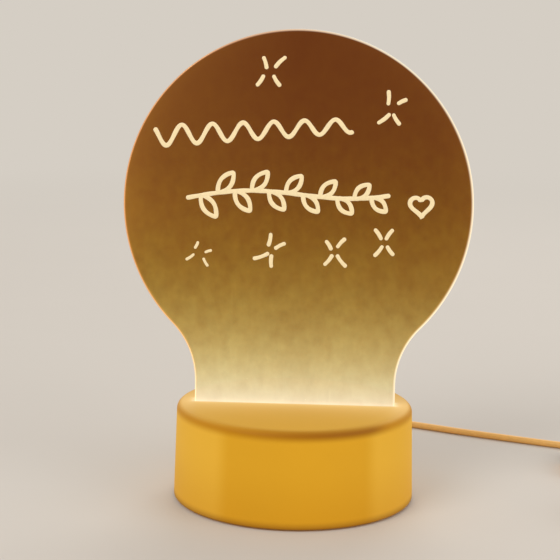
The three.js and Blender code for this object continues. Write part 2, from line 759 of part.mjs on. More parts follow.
function switchButton() {

	const top = SWITCH_HEIGHT + BUTTON_PROUD;
	const flangeRadius = BUTTON_RADIUS + BUTTON_FLANGE_WIDTH;
	return revolve( [
		[ 0, buttonFlangeZ ],
		[ flangeRadius, buttonFlangeZ ],
		[ flangeRadius, buttonFlangeTop ],
		[ BUTTON_RADIUS, buttonFlangeTop ],
		...roundEdge( BUTTON_RADIUS - BUTTON_CROWN, top - BUTTON_CROWN, BUTTON_CROWN, 0, 1 ),
		[ 0, top ],
	], FOOT_SIDES );

}

// The coil's centre line round its own axis: each layer takes the same turns, inwards and outwards by
// turns, and the line climbs a layer in the half turn where the spiral reverses
function coilLine() {

	const turnsPerLayer = COIL_TURNS / COIL_LAYERS;
	const points = [];
	for ( let i = 0; i <= COIL_TURNS * COIL_STEPS; i ++ ) {

		const turn = i / COIL_STEPS;
		const layer = Math.min( Math.floor( turn / turnsPerLayer ), COIL_LAYERS - 1 );
		const done = turn / turnsPerLayer - layer;
		const inward = layer % 2 === 0 ? done : 1 - done;
		const radius = COIL_OUTER_RADIUS + ( COIL_INNER_RADIUS - COIL_OUTER_RADIUS ) * inward;
		const reversal = Math.round( turn / turnsPerLayer );
		const climb = ( turn - reversal * turnsPerLayer ) / COIL_CLIMB_SHARE + 0.5;
		const climbing = reversal > 0 && reversal < COIL_LAYERS && climb > 0 && climb < 1;
		const level = climbing ? reversal - 1 + climb * climb * ( 3 - 2 * climb ) : layer;
		const angle = - 2 * Math.PI * turn;
		points.push( new THREE.Vector3(
			radius * Math.cos( angle ), radius * Math.sin( angle ), level * coilLayerPitch,
		) );

	}

	const [ first, last ] = [ points[ 0 ], points[ points.length - 1 ] ];
	points.unshift( new THREE.Vector3( first.x, CORD_DIAMETER, first.z ) );
	points.push( new THREE.Vector3( last.x, CORD_DIAMETER, last.z ) );
	return points;

}

// The least air between two stretches of a line that are half a turn or more apart
function leastGap( points ) {

	let least = Infinity;
	points.forEach( ( p, i ) => points.slice( i + COIL_STEPS / 2 ).forEach( q => {

		least = Math.min( least, p.distanceTo( q ) );

	} ) );
	return least - CORD_DIAMETER;

}

// One unbroken tube along the coil's line, closed at both ends
function cordCoil() {

	const line = coilLine();
	const positions = [];
	line.forEach( ( point, i ) => {

		const before = line[ Math.max( i - 1, 0 ) ];
		const after = line[ Math.min( i + 1, line.length - 1 ) ];
		const along = after.clone().sub( before ).normalize();
		const side = new THREE.Vector3( 0, 0, 1 ).cross( along ).normalize();
		const up = along.clone().cross( side );
		for ( let k = 0; k < COIL_SIDES; k ++ ) {

			const angle = ( k + 0.5 ) / COIL_SIDES * 2 * Math.PI;
			const corner = point.clone()
				.addScaledVector( side, cordRadius * Math.cos( angle ) )
				.addScaledVector( up, cordRadius * Math.sin( angle ) );
			positions.push( ...corner.toArray() );

		}

	} );
	const index = [];
	for ( let i = 0; i < line.length - 1; i ++ ) {

		for ( let k = 0; k < COIL_SIDES; k ++ ) {

			const [ a, b ] = [ i * COIL_SIDES + k, i * COIL_SIDES + ( k + 1 ) % COIL_SIDES ];
			index.push( a, b, b + COIL_SIDES, a, b + COIL_SIDES, a + COIL_SIDES );

		}

	}

	const lastRing = ( line.length - 1 ) * COIL_SIDES;
	for ( let k = 1; k < COIL_SIDES - 1; k ++ ) {

		index.push( 0, k + 1, k, lastRing, lastRing + k, lastRing + k + 1 );

	}

	const geometry = new THREE.BufferGeometry();
	geometry.setAttribute( 'position', new THREE.Float32BufferAttribute( positions, 3 ) );
	geometry.setIndex( index );
	geometry.computeVertexNormals();
	console.log( `coil: least gap to itself ${ leastGap( line ).toFixed( 3 ) } mm` );
	return geometry;

}

// A flat band round the coil's bundle of turns, on its far side
function coilTie() {

	const nearest = Math.sqrt( ( COIL_INNER_RADIUS - cordRadius ) ** 2 - ( TIE_WIDTH / 2 ) ** 2 ) - FIT_GAP;
	const furthest = COIL_OUTER_RADIUS + cordRadius + FIT_GAP;
	const height = ( COIL_LAYERS - 1 ) * coilLayerPitch + CORD_DIAMETER + 2 * FIT_GAP;
	const [ wide, tall ] = [ furthest - nearest, height ];
	const band = roundedRectangle( wide + 2 * TIE_THICKNESS, tall + 2 * TIE_THICKNESS, 2 * TIE_THICKNESS );
	band.holes.push( new THREE.Path( roundedRectangle( wide, tall, TIE_THICKNESS ).getPoints( ROUND_STEPS ) ) );
	return raise( band, TIE_WIDTH )
		.rotateY( Math.PI / 2 ).rotateX( Math.PI / 2 )
		.translate( - TIE_WIDTH / 2, ( nearest + furthest ) / 2, tall / 2 + TIE_THICKNESS );

}

// The plug's overmoulding and ribbed relief, with the seat of its metal shell and a grip recess
function plugOvermould() {

	const body = raise( roundedRectangle( PLUG_WIDTH, PLUG_HEIGHT, PLUG_CORNER ), PLUG_LENGTH, PLUG_EDGE );
	const tail = revolve( [
		...reliefProfile( 0 ).map( ( [ radius, along ] ) => [ radius, - along ] ).reverse(),
		[ RELIEF_ROOT_RADIUS, ROOT_OVERLAP ],
		[ 0, ROOT_OVERLAP ],
		[ 0, - RELIEF_LENGTH ],
		[ RELIEF_TIP_RADIUS - RELIEF_GROOVE_DEPTH, - RELIEF_LENGTH ],
	], BOSS_SIDES );
	const seat = raise(
		roundedRectangle( SHELL_WIDTH + 2 * FIT_GAP, SHELL_HEIGHT + 2 * FIT_GAP, SHELL_CORNER + FIT_GAP ),
		SHELL_SEAT + FIT_GAP + CUT_OVERRUN,
	).translate( 0, 0, PLUG_LENGTH - SHELL_SEAT - FIT_GAP );
	const grip = new THREE.CylinderGeometry( PLUG_GRIP_LENGTH / 2, PLUG_GRIP_LENGTH / 2, 2 * PLUG_GRIP_DEPTH,
		FOOT_SIDES )
		.scale( PLUG_GRIP_WIDTH / PLUG_GRIP_LENGTH, 1, 1 )
		.translate( 0, - PLUG_HEIGHT / 2, PLUG_LENGTH / 2 );
	return aroundY( shaped( body, [ tail ], [ seat, grip ] ) );

}

// The shell and what it holds are drawn from its rear end, along Y
function plugShell() {

	const length = SHELL_SEAT + SHELL_REACH;
	const outer = roundedRectangle( SHELL_WIDTH, SHELL_HEIGHT, SHELL_CORNER );
	const bore = roundedRectangle(
		SHELL_WIDTH - 2 * SHELL_WALL, SHELL_HEIGHT - 2 * SHELL_WALL, SHELL_CORNER - SHELL_WALL,
	);
	outer.holes.push( new THREE.Path( bore.getPoints( ROUND_STEPS ) ) );
	const latches = [ - 1, 1 ].map( side => {

		const [ x, z ] = [ side * LATCH_SPACING / 2, length - LATCH_SETBACK ];
		return block(
			[ x - LATCH_SIZE / 2, x + LATCH_SIZE / 2 ],
			[ - SHELL_HEIGHT, SHELL_HEIGHT ],
			[ z - LATCH_SIZE / 2, z + LATCH_SIZE / 2 ],
		);

	} );
	return aroundY( shaped( raise( outer, length ), [], latches ) );

}

const tongueHalfWidth = SHELL_WIDTH / 2 - SHELL_WALL - FIT_GAP;
const tongueTopZ = SHELL_HEIGHT / 2 - SHELL_WALL - FIT_GAP;
const tongueZ = tongueTopZ - TONGUE_THICKNESS;
const tongueLength = SHELL_SEAT + SHELL_REACH - TONGUE_SETBACK;
const contactPlaces = [ - CONTACT_OUTER_SPACING, - CONTACT_INNER_SPACING, CONTACT_INNER_SPACING,
	CONTACT_OUTER_SPACING ].map( spacing => spacing / 2 );

function plugTongue() {

	const side = [ - tongueHalfWidth, tongueHalfWidth ];
	return shaped( block( side, [ 0, tongueLength ], [ tongueZ, tongueTopZ ] ), [
		block( side, [ 0, TONGUE_ROOT ], [ - tongueTopZ, tongueTopZ ] ),
	] );

}

function plugContact( x ) {

	const front = tongueLength - TONGUE_SETBACK;
	const top = tongueZ - SOLDER_GAP;
	return block(
		[ x - CONTACT_WIDTH / 2, x + CONTACT_WIDTH / 2 ],
		[ front - CONTACT_LENGTH, front ],
		[ top - CONTACT_THICKNESS, top ],
	);

}

// A named piece at its place
function piece( name, geometry, finish, x = 0, y = 0, z = 0 ) {

	const mesh = new THREE.Mesh( geometry, finish );
	mesh.name = name;
	mesh.position.set( x, y, z );
	return mesh;

}

function baseAssembly() {

	const group = new THREE.Group();
	group.add( piece( 'base_shell', baseShell(), finishes.housing ) );
	group.add( piece( 'bottom_cover', bottomCover(), finishes.housing ) );
	const screwZ = coverZ + COVER_COUNTERBORE_DEPTH - FIT_GAP;
	around( BOSS_COUNT, bossCircle, 0.5 ).forEach( ( [ x, y ], i ) => {

		group.add( piece( `cover_screw_${ i + 1 }`, screw( COVER_SCREW ), finishes.steel, x, y, screwZ ) );

	} );
	around( FOOT_COUNT, footCircle ).forEach( ( [ x, y ], i ) => {

		group.add( piece( `foot_${ i + 1 }`, foot(), finishes.rubber, x, y ) );

	} );
	return group;

}

function lightAssembly() {

	const group = new THREE.Group();
	group.add( piece( 'led_board', ledBoard(), finishes.board, 0, 0, boardZ ) );
	const ledPitch = 2 * windowHalfLength / LED_COUNT;
	for ( let i = 0; i < LED_COUNT; i ++ ) {

		const x = ( i + 0.5 ) * ledPitch - windowHalfLength;
		const led = new THREE.BoxGeometry( LED_LENGTH, LED_WIDTH, LED_HEIGHT );
		const z = boardTopZ + SOLDER_GAP + LED_HEIGHT / 2;
		group.add( piece( `led_${ i + 1 }`, led, finishes.led, x, 0, z ) );

	}

	for ( let i = 0; i < RESISTOR_COUNT; i ++ ) {

		const x = ( i - ( RESISTOR_COUNT - 1 ) / 2 ) * RESISTOR_SPACING;
		const resistor = new THREE.BoxGeometry( RESISTOR_LENGTH, RESISTOR_WIDTH, RESISTOR_HEIGHT );
		const z = boardZ - SOLDER_GAP - RESISTOR_HEIGHT / 2;
		group.add( piece( `resistor_${ i + 1 }`, resistor, finishes.resistor, x, - RESISTOR_OFFSET, z ) );

	}

	for ( const [ side, name ] of [ [ - 1, 'left' ], [ 1, 'right' ] ] ) {

		const boardScrew = screw( BOARD_SCREW );
		group.add( piece(
			`board_screw_${ name }`, boardScrew, finishes.steel, side * boardScrewX, 0, boardZ - FIT_GAP,
		) );

	}

	return group;

}

function cordAssembly() {

	const group = new THREE.Group();
	const inner = [ 0, 0.5, 1 ].map( share => [ 0, innerCordY() - INNER_CORD_LENGTH * share, 0 ] );
	group.add( piece( 'strain_relief', strainRelief(), finishes.cord, 0, 0, GLAND_HEIGHT ) );
	group.add( piece( 'cord_inner_end', lead( inner, cordRadius ), finishes.cord, 0, 0, GLAND_HEIGHT ) );
	group.add( piece( 'wire_red', wire( - 1 ), finishes.redWire ) );
	group.add( piece( 'wire_black', wire( 1 ), finishes.blackWire ) );
	group.add( piece( 'cord_run', lead( cordRoute, cordRadius ), finishes.cord ) );
	group.add( piece( 'cord_lead', lead( leadRoute, cordRadius ), finishes.cord ) );
	group.add( piece( 'cord_coil', cordCoil(), finishes.cord, coilX, COIL_Y, coilZ ) );
	group.add( piece( 'cord_to_plug', lead( tailRoute, cordRadius ), finishes.cord ) );
	group.add( piece( 'coil_tie', coilTie(), finishes.tie, coilX, COIL_Y ) );
	return group;

}

function switchAssembly() {

	const group = new THREE.Group();
	group.position.set( SWITCH_X, SWITCH_Y, 0 );
	group.add( piece( 'switch_case_upper', switchCaseUpper(), finishes.housing ) );
	group.add( piece( 'switch_case_lower', switchCaseLower(), finishes.housing ) );
	group.add( piece( 'switch_contact_block', contactBlock(), finishes.resistor ) );
	group.add( piece( 'switch_button', switchButton(), finishes.button ) );
	return group;

}

function plugAssembly() {

	const group = new THREE.Group();
	group.position.set( plugX, PLUG_Y, plugMidZ );
	const shellY = PLUG_LENGTH - SHELL_SEAT;
	group.add( piece( 'plug_overmould', plugOvermould(), finishes.cord ) );
	group.add( piece( 'plug_shell', plugShell(), finishes.steel, 0, shellY ) );
	group.add( piece( 'plug_tongue', plugTongue(), finishes.board, 0, shellY ) );
	contactPlaces.forEach( ( x, i ) => {

		group.add( piece( `plug_contact_${ i + 1 }`, plugContact( x ), finishes.contact, 0, shellY ) );

	} );
	return group;

}

const board = new THREE.Group();
board.name = 'led_writing_board';
board.add( piece( 'acrylic_panel', acrylicPanel(), finishes.acrylic, 0, 0, panelFootZ ) );
board.add( baseAssembly(), lightAssembly(), cordAssembly(), switchAssembly(), plugAssembly() );

export default board;
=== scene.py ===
"""The looks of an edge-lit writing board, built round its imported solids.

A clear acrylic panel with a light-bulb outline stands in a round moulded base. The light of the LEDs in
the base climbs the panel, lights its rim and the marker drawing on its face, and shines through the
housing. A thin cord leaves the back of the base, passes an in-line switch and ends in a USB plug.

Every size is in metres. +X runs along the panel, -Y is the front, +Z is up.
"""

from __future__ import annotations

import logging
import math
from dataclasses import dataclass
from enum import Enum
from functools import cache
from typing import Iterable, Optional, Protocol, Sequence, Union

import bmesh
import bpy
import numpy as np
from mathutils import Matrix, Vector

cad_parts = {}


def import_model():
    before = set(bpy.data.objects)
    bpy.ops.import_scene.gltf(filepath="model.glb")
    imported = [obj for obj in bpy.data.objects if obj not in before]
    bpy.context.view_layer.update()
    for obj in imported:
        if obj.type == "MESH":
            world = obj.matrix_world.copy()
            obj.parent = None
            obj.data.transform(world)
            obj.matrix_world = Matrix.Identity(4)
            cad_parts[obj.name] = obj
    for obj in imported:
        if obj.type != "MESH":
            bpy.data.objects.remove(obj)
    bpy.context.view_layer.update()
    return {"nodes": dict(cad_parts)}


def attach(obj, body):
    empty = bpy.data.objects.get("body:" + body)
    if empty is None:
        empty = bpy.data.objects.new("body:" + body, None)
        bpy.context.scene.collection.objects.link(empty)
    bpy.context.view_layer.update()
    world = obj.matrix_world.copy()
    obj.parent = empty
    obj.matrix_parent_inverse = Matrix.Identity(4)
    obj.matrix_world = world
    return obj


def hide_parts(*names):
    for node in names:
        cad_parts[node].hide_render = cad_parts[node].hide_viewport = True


LOG = logging.getLogger("writing_board")
PHOTO_PIXELS = 560  # the photograph's width and height
SENSOR_WIDTH = 36.0  # of the camera, in millimetres
SMOOTH_ANGLE = math.radians(32)  # a sharper fold between two faces stays an edge
MERGE_DISTANCE = 1e-7
CORNER_STEPS = 8  # of the arc that rounds an edge or a corner
OVERRUN = 0.001  # how far a cutter runs past the face that it opens
ROOT_OVERLAP = 0.0005  # how far a joined solid runs into the one that carries it
FIT_GAP = 0.0003  # air between neighbouring pieces

Point = tuple[float, float, float]
Colour = tuple[float, float, float]
ORIGIN = (0.0, 0.0, 0.0)


def srgb(red: int, green: int, blue: int) -> Colour:
    """The linear colour of a screen colour, each channel from 0 to 255."""
    shares = (np.array([red, green, blue]) / 255 + 0.055) / 1.055
    return tuple(float(share) for share in shares**2.4)


class Facing(Enum):
    """Where a shape drawn in its own plane points: the directions of its across, up and along axes."""

    UP = ((1, 0, 0), (0, 1, 0), (0, 0, 1))
    FRONT = ((1, 0, 0), (0, 0, 1), (0, -1, 0))
    BACK = ((-1, 0, 0), (0, 0, 1), (0, 1, 0))
    RIGHT = ((0, 1, 0), (0, 0, 1), (1, 0, 0))


# Outlines and profiles: closed or open curves as arrays of points


def circle(radius: float, sides: int) -> np.ndarray:
    """A circle, anticlockwise: radius times the cosine and sine of evenly spaced angles."""
    angle = np.arange(sides) / sides * 2 * math.pi
    return radius * np.stack([np.cos(angle), np.sin(angle)], axis=-1)


def arc(centre: Sequence[float], radius: float, start: float, end: float, steps: int) -> np.ndarray:
    """An arc about a centre between two angles in radians, both ends included."""
    angle = np.linspace(start, end, steps + 1)
    return np.array(centre) + radius * np.stack([np.cos(angle), np.sin(angle)], axis=-1)


def rounded_rectangle(width: float, height: float, corner: float) -> np.ndarray:
    """A rectangle about the origin whose corners are quarter circles, anticlockwise.

    Args:
        width: its whole width.
        height: its whole height.
        corner: the corners' radius.

    Returns:
        The outline's points.
    """
    across, up = width / 2 - corner, height / 2 - corner
    quarter = math.pi / 2
    corners = [(across, -up, -1), (across, up, 0), (-across, up, 1), (-across, -up, 2)]
    return np.concatenate([
        arc((x, y), corner, turn * quarter, (turn + 1) * quarter, CORNER_STEPS) for x, y, turn in corners
    ])


def filleted(corners: Sequence[Point], steps: int = CORNER_STEPS) -> np.ndarray:
    """An open path through corners that are rounded by arcs.

    A fillet is the arc that touches both sides of its corner. Its centre lies on the corner's middle line,
    at the radius over the sine of half the corner's angle, and its points are turned evenly from one
    touching point to the other.

    Args:
        corners: (across, along, fillet radius) of each corner; the first and last are the path's ends.
        steps: how many steps an arc has.

    Returns:
        The path's points, as (across, along) rows.
    """
    places = np.array([corner[:2] for corner in corners], float)
    radii = [corner[2] for corner in corners[1:-1]]
    points = [places[:1]]
    for before, here, after, radius in zip(places, places[1:], places[2:], radii):
        if radius == 0:
            points.append(here[None])
            continue
        back = (before - here) / np.linalg.norm(before - here)
        ahead = (after - here) / np.linalg.norm(after - here)
        half = 0.5 * math.acos(float(np.clip(back @ ahead, -1, 1)))
        middle = (back + ahead) / np.linalg.norm(back + ahead)
        centre = here + middle * radius / math.sin(half)
        start = here + back * radius / math.tan(half) - centre
        end = here + ahead * radius / math.tan(half) - centre
        turn = math.pi - 2 * half
        share = np.linspace(0, 1, steps + 1)[:, None]
        swung = (np.sin((1 - share) * turn) * start + np.sin(share * turn) * end) / math.sin(turn)
        points.append(centre + swung)
    points.append(places[-1:])
    return np.concatenate(points)


def rounded_top(edge: float, height: float) -> np.ndarray:
    """Profile points of a rounded upper edge: a quarter circle from the side in to the top face."""
    angle = np.linspace(0, math.pi / 2, CORNER_STEPS + 1)
    return np.column_stack([edge * (1 - np.cos(angle)), height - edge * (1 - np.sin(angle))])


def rounded_bottom(edge: float) -> np.ndarray:
    """Profile points of a rounded lower edge: a quarter circle from the bottom face out to the side."""
    angle = np.linspace(math.pi / 2, 0, CORNER_STEPS + 1)
    return np.column_stack([edge * (1 - np.cos(angle)), edge * (1 - np.sin(angle))])


def outward(outline: np.ndarray) -> np.ndarray:
    """Unit normals of a closed anticlockwise outline: each point's chord between neighbours, turned out.

    Args:
        outline: the outline's points.

    Returns:
        A unit normal for each point.
    """
    chord = np.roll(outline, -1, axis=0) - np.roll(outline, 1, axis=0)
    normal = np.stack([chord[:, 1], -chord[:, 0]], axis=-1)
    return normal / np.linalg.norm(normal, axis=1, keepdims=True)


def catmull_rom(points: Sequence[Point], spacing: float) -> np.ndarray:
    """A smooth curve through points, resampled at an even spacing.

    Each span is a cubic through its two ends. Its slopes there are those of the curve through the
    neighbouring points whose parameter grows with the square root of the distance between them.

    Args:
        points: the places that the curve passes.
        spacing: the distance between the points returned.

    Returns:
        The curve's points, both ends included.
    """
    given = np.array(points, float)
    knots = np.concatenate([[2 * given[0] - given[1]], given, [2 * given[-1] - given[-2]]])
    gap = np.sqrt(np.linalg.norm(np.diff(knots, axis=0), axis=1))[:, None]
    before, here, after = gap[:-2], gap[1:-1], gap[2:]
    p0, p1, p2, p3 = knots[:-3], knots[1:-2], knots[2:-1], knots[3:]
    start = (p1 - p0) / before - (p2 - p0) / (before + here) + (p2 - p1) / here
    end = (p2 - p1) / here - (p3 - p1) / (here + after) + (p3 - p2) / after
    start, end = start * here, end * here
    t = np.linspace(0, 1, 24, endpoint=False)[None, :, None]
    p1, p2, start, end = (array[:, None, :] for array in (p1, p2, start, end))
    dense = (
        (2 * t**3 - 3 * t**2 + 1) * p1 + (t**3 - 2 * t**2 + t) * start
        + (3 * t**2 - 2 * t**3) * p2 + (t**3 - t**2) * end
    ).reshape(-1, given.shape[1])
    return evenly(np.concatenate([dense, given[-1:]]), spacing)


def evenly(points: np.ndarray, spacing: float) -> np.ndarray:
    """A line's points at an even spacing along it, both ends included.

    Args:
        points: the line's points.
        spacing: about how far apart the new ones lie.

    Returns:
        The new points.
    """
    along = travelled(points)
    count = max(2, int(round(along[-1] / spacing)) + 1)
    places = np.linspace(0, along[-1], count)
    return np.stack([np.interp(places, along, column) for column in points.T], axis=-1)


def travelled(points: np.ndarray) -> np.ndarray:
    """The distance along a line from its first point to each of its points."""
    steps = np.linalg.norm(np.diff(points, axis=0), axis=1)
    return np.concatenate([[0.0], np.cumsum(steps)])


# Surfaces: grids of points that become meshes


def grid_quads(rows: int, columns: int, wrap_rows: bool) -> np.ndarray:
    """The corner numbers of the quads between a grid's neighbouring rows and round its columns.

    Args:
        rows: how many rows the grid has.
        columns: how many columns.
        wrap_rows: True where the last row meets the first.

    Returns:
        The quads, four corner numbers each.
    """
    row = np.arange(rows if wrap_rows else rows - 1)[:, None]
    column = np.arange(columns)[None, :]
    next_row, next_column = (row + 1) % rows, (column + 1) % columns
    corners = [
        row * columns + column, row * columns + next_column,
        next_row * columns + next_column, next_row * columns + column,
    ]
    return np.stack(corners, axis=-1).reshape(-1, 4)


class Surface:
    """Gathers closed grids of points and makes one mesh object of them."""

    def __init__(self) -> None:
        """Starts with no points and no faces."""
        self.points: list[np.ndarray] = []
        self.marks: list[np.ndarray] = []
        self.faces: list[list[int]] = []
        self.count = 0

    def grid(
        self,
        points: np.ndarray,
        wrap_rows: bool = False,
        caps: bool = True,
        marks: Optional[np.ndarray] = None,
    ) -> "Surface":
        """Adds a grid whose columns close round, with its first and last rows closed by flat caps.

        Args:
            points: an array of rows by columns by three.
            wrap_rows: True where the last row meets the first, as on a ring.
            caps: True where the first and last rows are open rings that need a cap.
            marks: a number for each point, which materials read as the attribute "mark".

        Returns:
            This surface.
        """
        rows, columns = points.shape[:2]
        quads = grid_quads(rows, columns, wrap_rows) + self.count
        self.faces.extend(quads.tolist())
        if caps and not wrap_rows:
            first = np.arange(columns)[::-1] + self.count
            last = np.arange(columns) + (rows - 1) * columns + self.count
            self.faces.extend([first.tolist(), last.tolist()])
        self.points.append(points.reshape(-1, 3))
        self.marks.append(np.zeros(rows * columns) if marks is None else marks.reshape(-1))
        self.count += rows * columns
        return self

    def build(self, name: str) -> bpy.types.Object:
        """Makes the object: welds coincident points, drops faces with no area and shades it smooth.

        Args:
            name: the object's name.

        Returns:
            The object, at the origin.
        """
        mesh = bpy.data.meshes.new(name)
        mesh.from_pydata(np.concatenate(self.points), [], self.faces, shade_flat=False)
        marks = np.concatenate(self.marks)
        if marks.any():
            mesh.attributes.new("mark", "FLOAT", "POINT").data.foreach_set("value", marks)
        work = bmesh.new()
        work.from_mesh(mesh)
        bmesh.ops.remove_doubles(work, verts=work.verts, dist=MERGE_DISTANCE)
        bmesh.ops.dissolve_degenerate(work, edges=work.edges, dist=MERGE_DISTANCE)
        work.to_mesh(mesh)
        work.free()
        shade(mesh)
        made = bpy.data.objects.new(name, mesh)
        bpy.context.scene.collection.objects.link(made)
        return made


def shade(mesh: bpy.types.Mesh) -> None:
    """Shades a mesh smooth, except across its sharper folds."""
    mesh.shade_smooth()
    mesh.set_sharp_from_angle(angle=SMOOTH_ANGLE)


def carried(rings: np.ndarray, along: np.ndarray, facing: Facing, at: Point) -> np.ndarray:
    """Places rings of (across, up) points at distances along an axis.

    Args:
        rings: an array of rings by points by two.
        along: each ring's distance along the axis.
        facing: where the rings' axes point.
        at: the place of the rings' origin.

    Returns:
        The grid of points, rings by points by three.
    """
    distances = np.broadcast_to(along[:, None, None], rings.shape[:2] + (1,))
    local = np.concatenate([rings, distances], axis=-1)
    return local @ np.array(facing.value, float) + np.array(at)


def lofted(
    outline: np.ndarray, profile: np.ndarray, facing: Facing = Facing.UP, at: Point = ORIGIN
) -> np.ndarray:
    """A grid of copies of an outline, one for each point of a profile.

    A profile point is (inset, along). The outline is moved in along its own normals by the inset and
    carried along its axis: point = outline - inset * normal, at height along.

    Args:
        outline: closed anticlockwise outline, drawn across and up.
        profile: (inset, along) rows, walked with the solid on their left.
        facing: where the outline's axes point.
        at: the place of the outline's origin.

    Returns:
        The grid of points.
    """
    rings = outline[None] - profile[:, :1, None] * outward(outline)[None]
    return carried(rings, profile[:, 1], facing, at)


def loft(
    name: str,
    outline: np.ndarray,
    profile: np.ndarray,
    facing: Facing = Facing.UP,
    at: Point = ORIGIN,
    ring: bool = False,
) -> bpy.types.Object:
    """A solid with an outline and a profile, as lofted() places them; a ring's profile closes on itself."""
    return Surface().grid(lofted(outline, profile, facing, at), wrap_rows=ring).build(name)


def revolve(
    name: str, profile: np.ndarray, sides: int, facing: Facing = Facing.UP, at: Point = ORIGIN
) -> bpy.types.Object:
    """A turned solid: each (radius, along) point of its profile is carried round its axis."""
    rings = profile[:, :1, None] * circle(1.0, sides)[None]
    return Surface().grid(carried(rings, profile[:, 1], facing, at), caps=False).build(name)


def prism(name: str, low: Point, high: Point, turn: float = 0.0) -> bpy.types.Object:
    """A plain block between two corners, turned about Z, for cutting and joining.

    Args:
        name: the object's name.
        low: its corner with the least X, Y and Z.
        high: its corner with the greatest.
        turn: the angle about Z, in radians.

    Returns:
        The block.
    """
    (x0, y0, z0), (x1, y1, z1) = low, high
    outline = np.array([(x0, y0), (x1, y0), (x1, y1), (x0, y1)])
    rotation = np.array([(math.cos(turn), math.sin(turn)), (-math.sin(turn), math.cos(turn))])
    ends = [np.column_stack([outline @ rotation, np.full(4, z)]) for z in (z0, z1)]
    return Surface().grid(np.stack(ends)).build(name)


def rod(
    name: str, radius: float, low: float, high: float, x: float = 0.0, y: float = 0.0
) -> bpy.types.Object:
    """A plain upright cylinder, for cutting and joining."""
    outline = circle(radius, 40) + np.array([x, y])
    return loft(name, outline, np.array([(0.0, low), (0.0, high)]))


def carved(
    target: bpy.types.Object,
    joined: Iterable[bpy.types.Object] = (),
    cut: Iterable[bpy.types.Object] = (),
) -> bpy.types.Object:
    """Joins solids to an object, cuts others from it, and removes them.

    Args:
        target: the object that stays.
        joined: solids that become part of it.
        cut: solids whose space is taken from it.

    Returns:
        The target, with a new mesh.
    """
    tools = [("UNION", other) for other in joined] + [("DIFFERENCE", other) for other in cut]
    for operation, other in tools:
        modifier = target.modifiers.new(other.name, "BOOLEAN")
        modifier.operation = operation
        modifier.object = other
        modifier.solver = "MANIFOLD"
    depsgraph = bpy.context.evaluated_depsgraph_get()
    mesh = bpy.data.meshes.new_from_object(target.evaluated_get(depsgraph))
    target.modifiers.clear()
    target.data = mesh
    for _, other in tools:
        bpy.data.objects.remove(other)
    shade(mesh)
    return target


def tube(path: np.ndarray, radius: float, sides: int = 16) -> np.ndarray:
    """The grid of a round tube about a line that never runs upright.

    At each point the side direction is the line's direction crossed with upright, and a ring point is
    the line's point plus the radius times the side and its normal, by the cosine and sine of its angle.

    Args:
        path: the line's points.
        radius: the tube's.
        sides: how many points a ring has.

    Returns:
        The grid of points, one ring for each point of the line.
    """
    ahead = np.gradient(path, axis=0)
    ahead /= np.linalg.norm(ahead, axis=1, keepdims=True)
    side = np.cross(ahead, (0.0, 0.0, 1.0))
    side /= np.linalg.norm(side, axis=1, keepdims=True)
    above = np.cross(side, ahead)
    angle = -np.arange(sides)[None, :, None] / sides * 2 * math.pi
    return path[:, None] + radius * (np.cos(angle) * side[:, None] + np.sin(angle) * above[:, None])


# Shader maths


Amount = Union[float, "Signal"]
Owner = Union[bpy.types.Material, bpy.types.World]


class Signal:
    """A number that varies over a surface: a socket whose operators add Math nodes."""

    def __init__(self, graph: "Graph", socket: bpy.types.NodeSocket) -> None:
        """Wraps an output socket of a graph."""
        self.graph = graph
        self.socket = socket

    def __add__(self, other: Amount) -> "Signal":
        """This plus another amount."""
        return self.graph.math("ADD", self, other)

    __radd__ = __add__

    def __sub__(self, other: Amount) -> "Signal":
        """This less another amount."""
        return self.graph.math("SUBTRACT", self, other)

    def __rsub__(self, other: Amount) -> "Signal":
        """Another amount less this."""
        return self.graph.math("SUBTRACT", other, self)

    def __mul__(self, other: Amount) -> "Signal":
        """This times another amount."""
        return self.graph.math("MULTIPLY", self, other)

    __rmul__ = __mul__

    def __truediv__(self, other: Amount) -> "Signal":
        """This over another amount."""
        return self.graph.math("DIVIDE", self, other)

    def __rtruediv__(self, other: Amount) -> "Signal":
        """Another amount over this."""
        return self.graph.math("DIVIDE", other, self)

    def __pow__(self, other: Amount) -> "Signal":
        """This to a power."""
        return self.graph.math("POWER", self, other)

    def __abs__(self) -> "Signal":
        """This without its sign."""
        return self.graph.math("ABSOLUTE", self)

    def exp(self) -> "Signal":
        """The base of natural logarithms to the power of this."""
        return self.graph.math("EXPONENT", self)

    def at_least(self, other: Amount) -> "Signal":
        """The larger of this and another amount."""
        return self.graph.math("MAXIMUM", self, other)

    def at_most(self, other: Amount) -> "Signal":
        """The smaller of this and another amount."""
        return self.graph.math("MINIMUM", self, other)

    def rise(self, low: float, high: float) -> "Signal":
        """A smooth step: 0 where this is below low, 1 where it is above high."""
        inputs = {"Value": self, "From Min": low, "From Max": high, "To Min": 0.0, "To Max": 1.0}
        made = self.graph.node("ShaderNodeMapRange", {"interpolation_type": "SMOOTHSTEP"}, inputs)
        return Signal(self.graph, made.outputs["Result"])


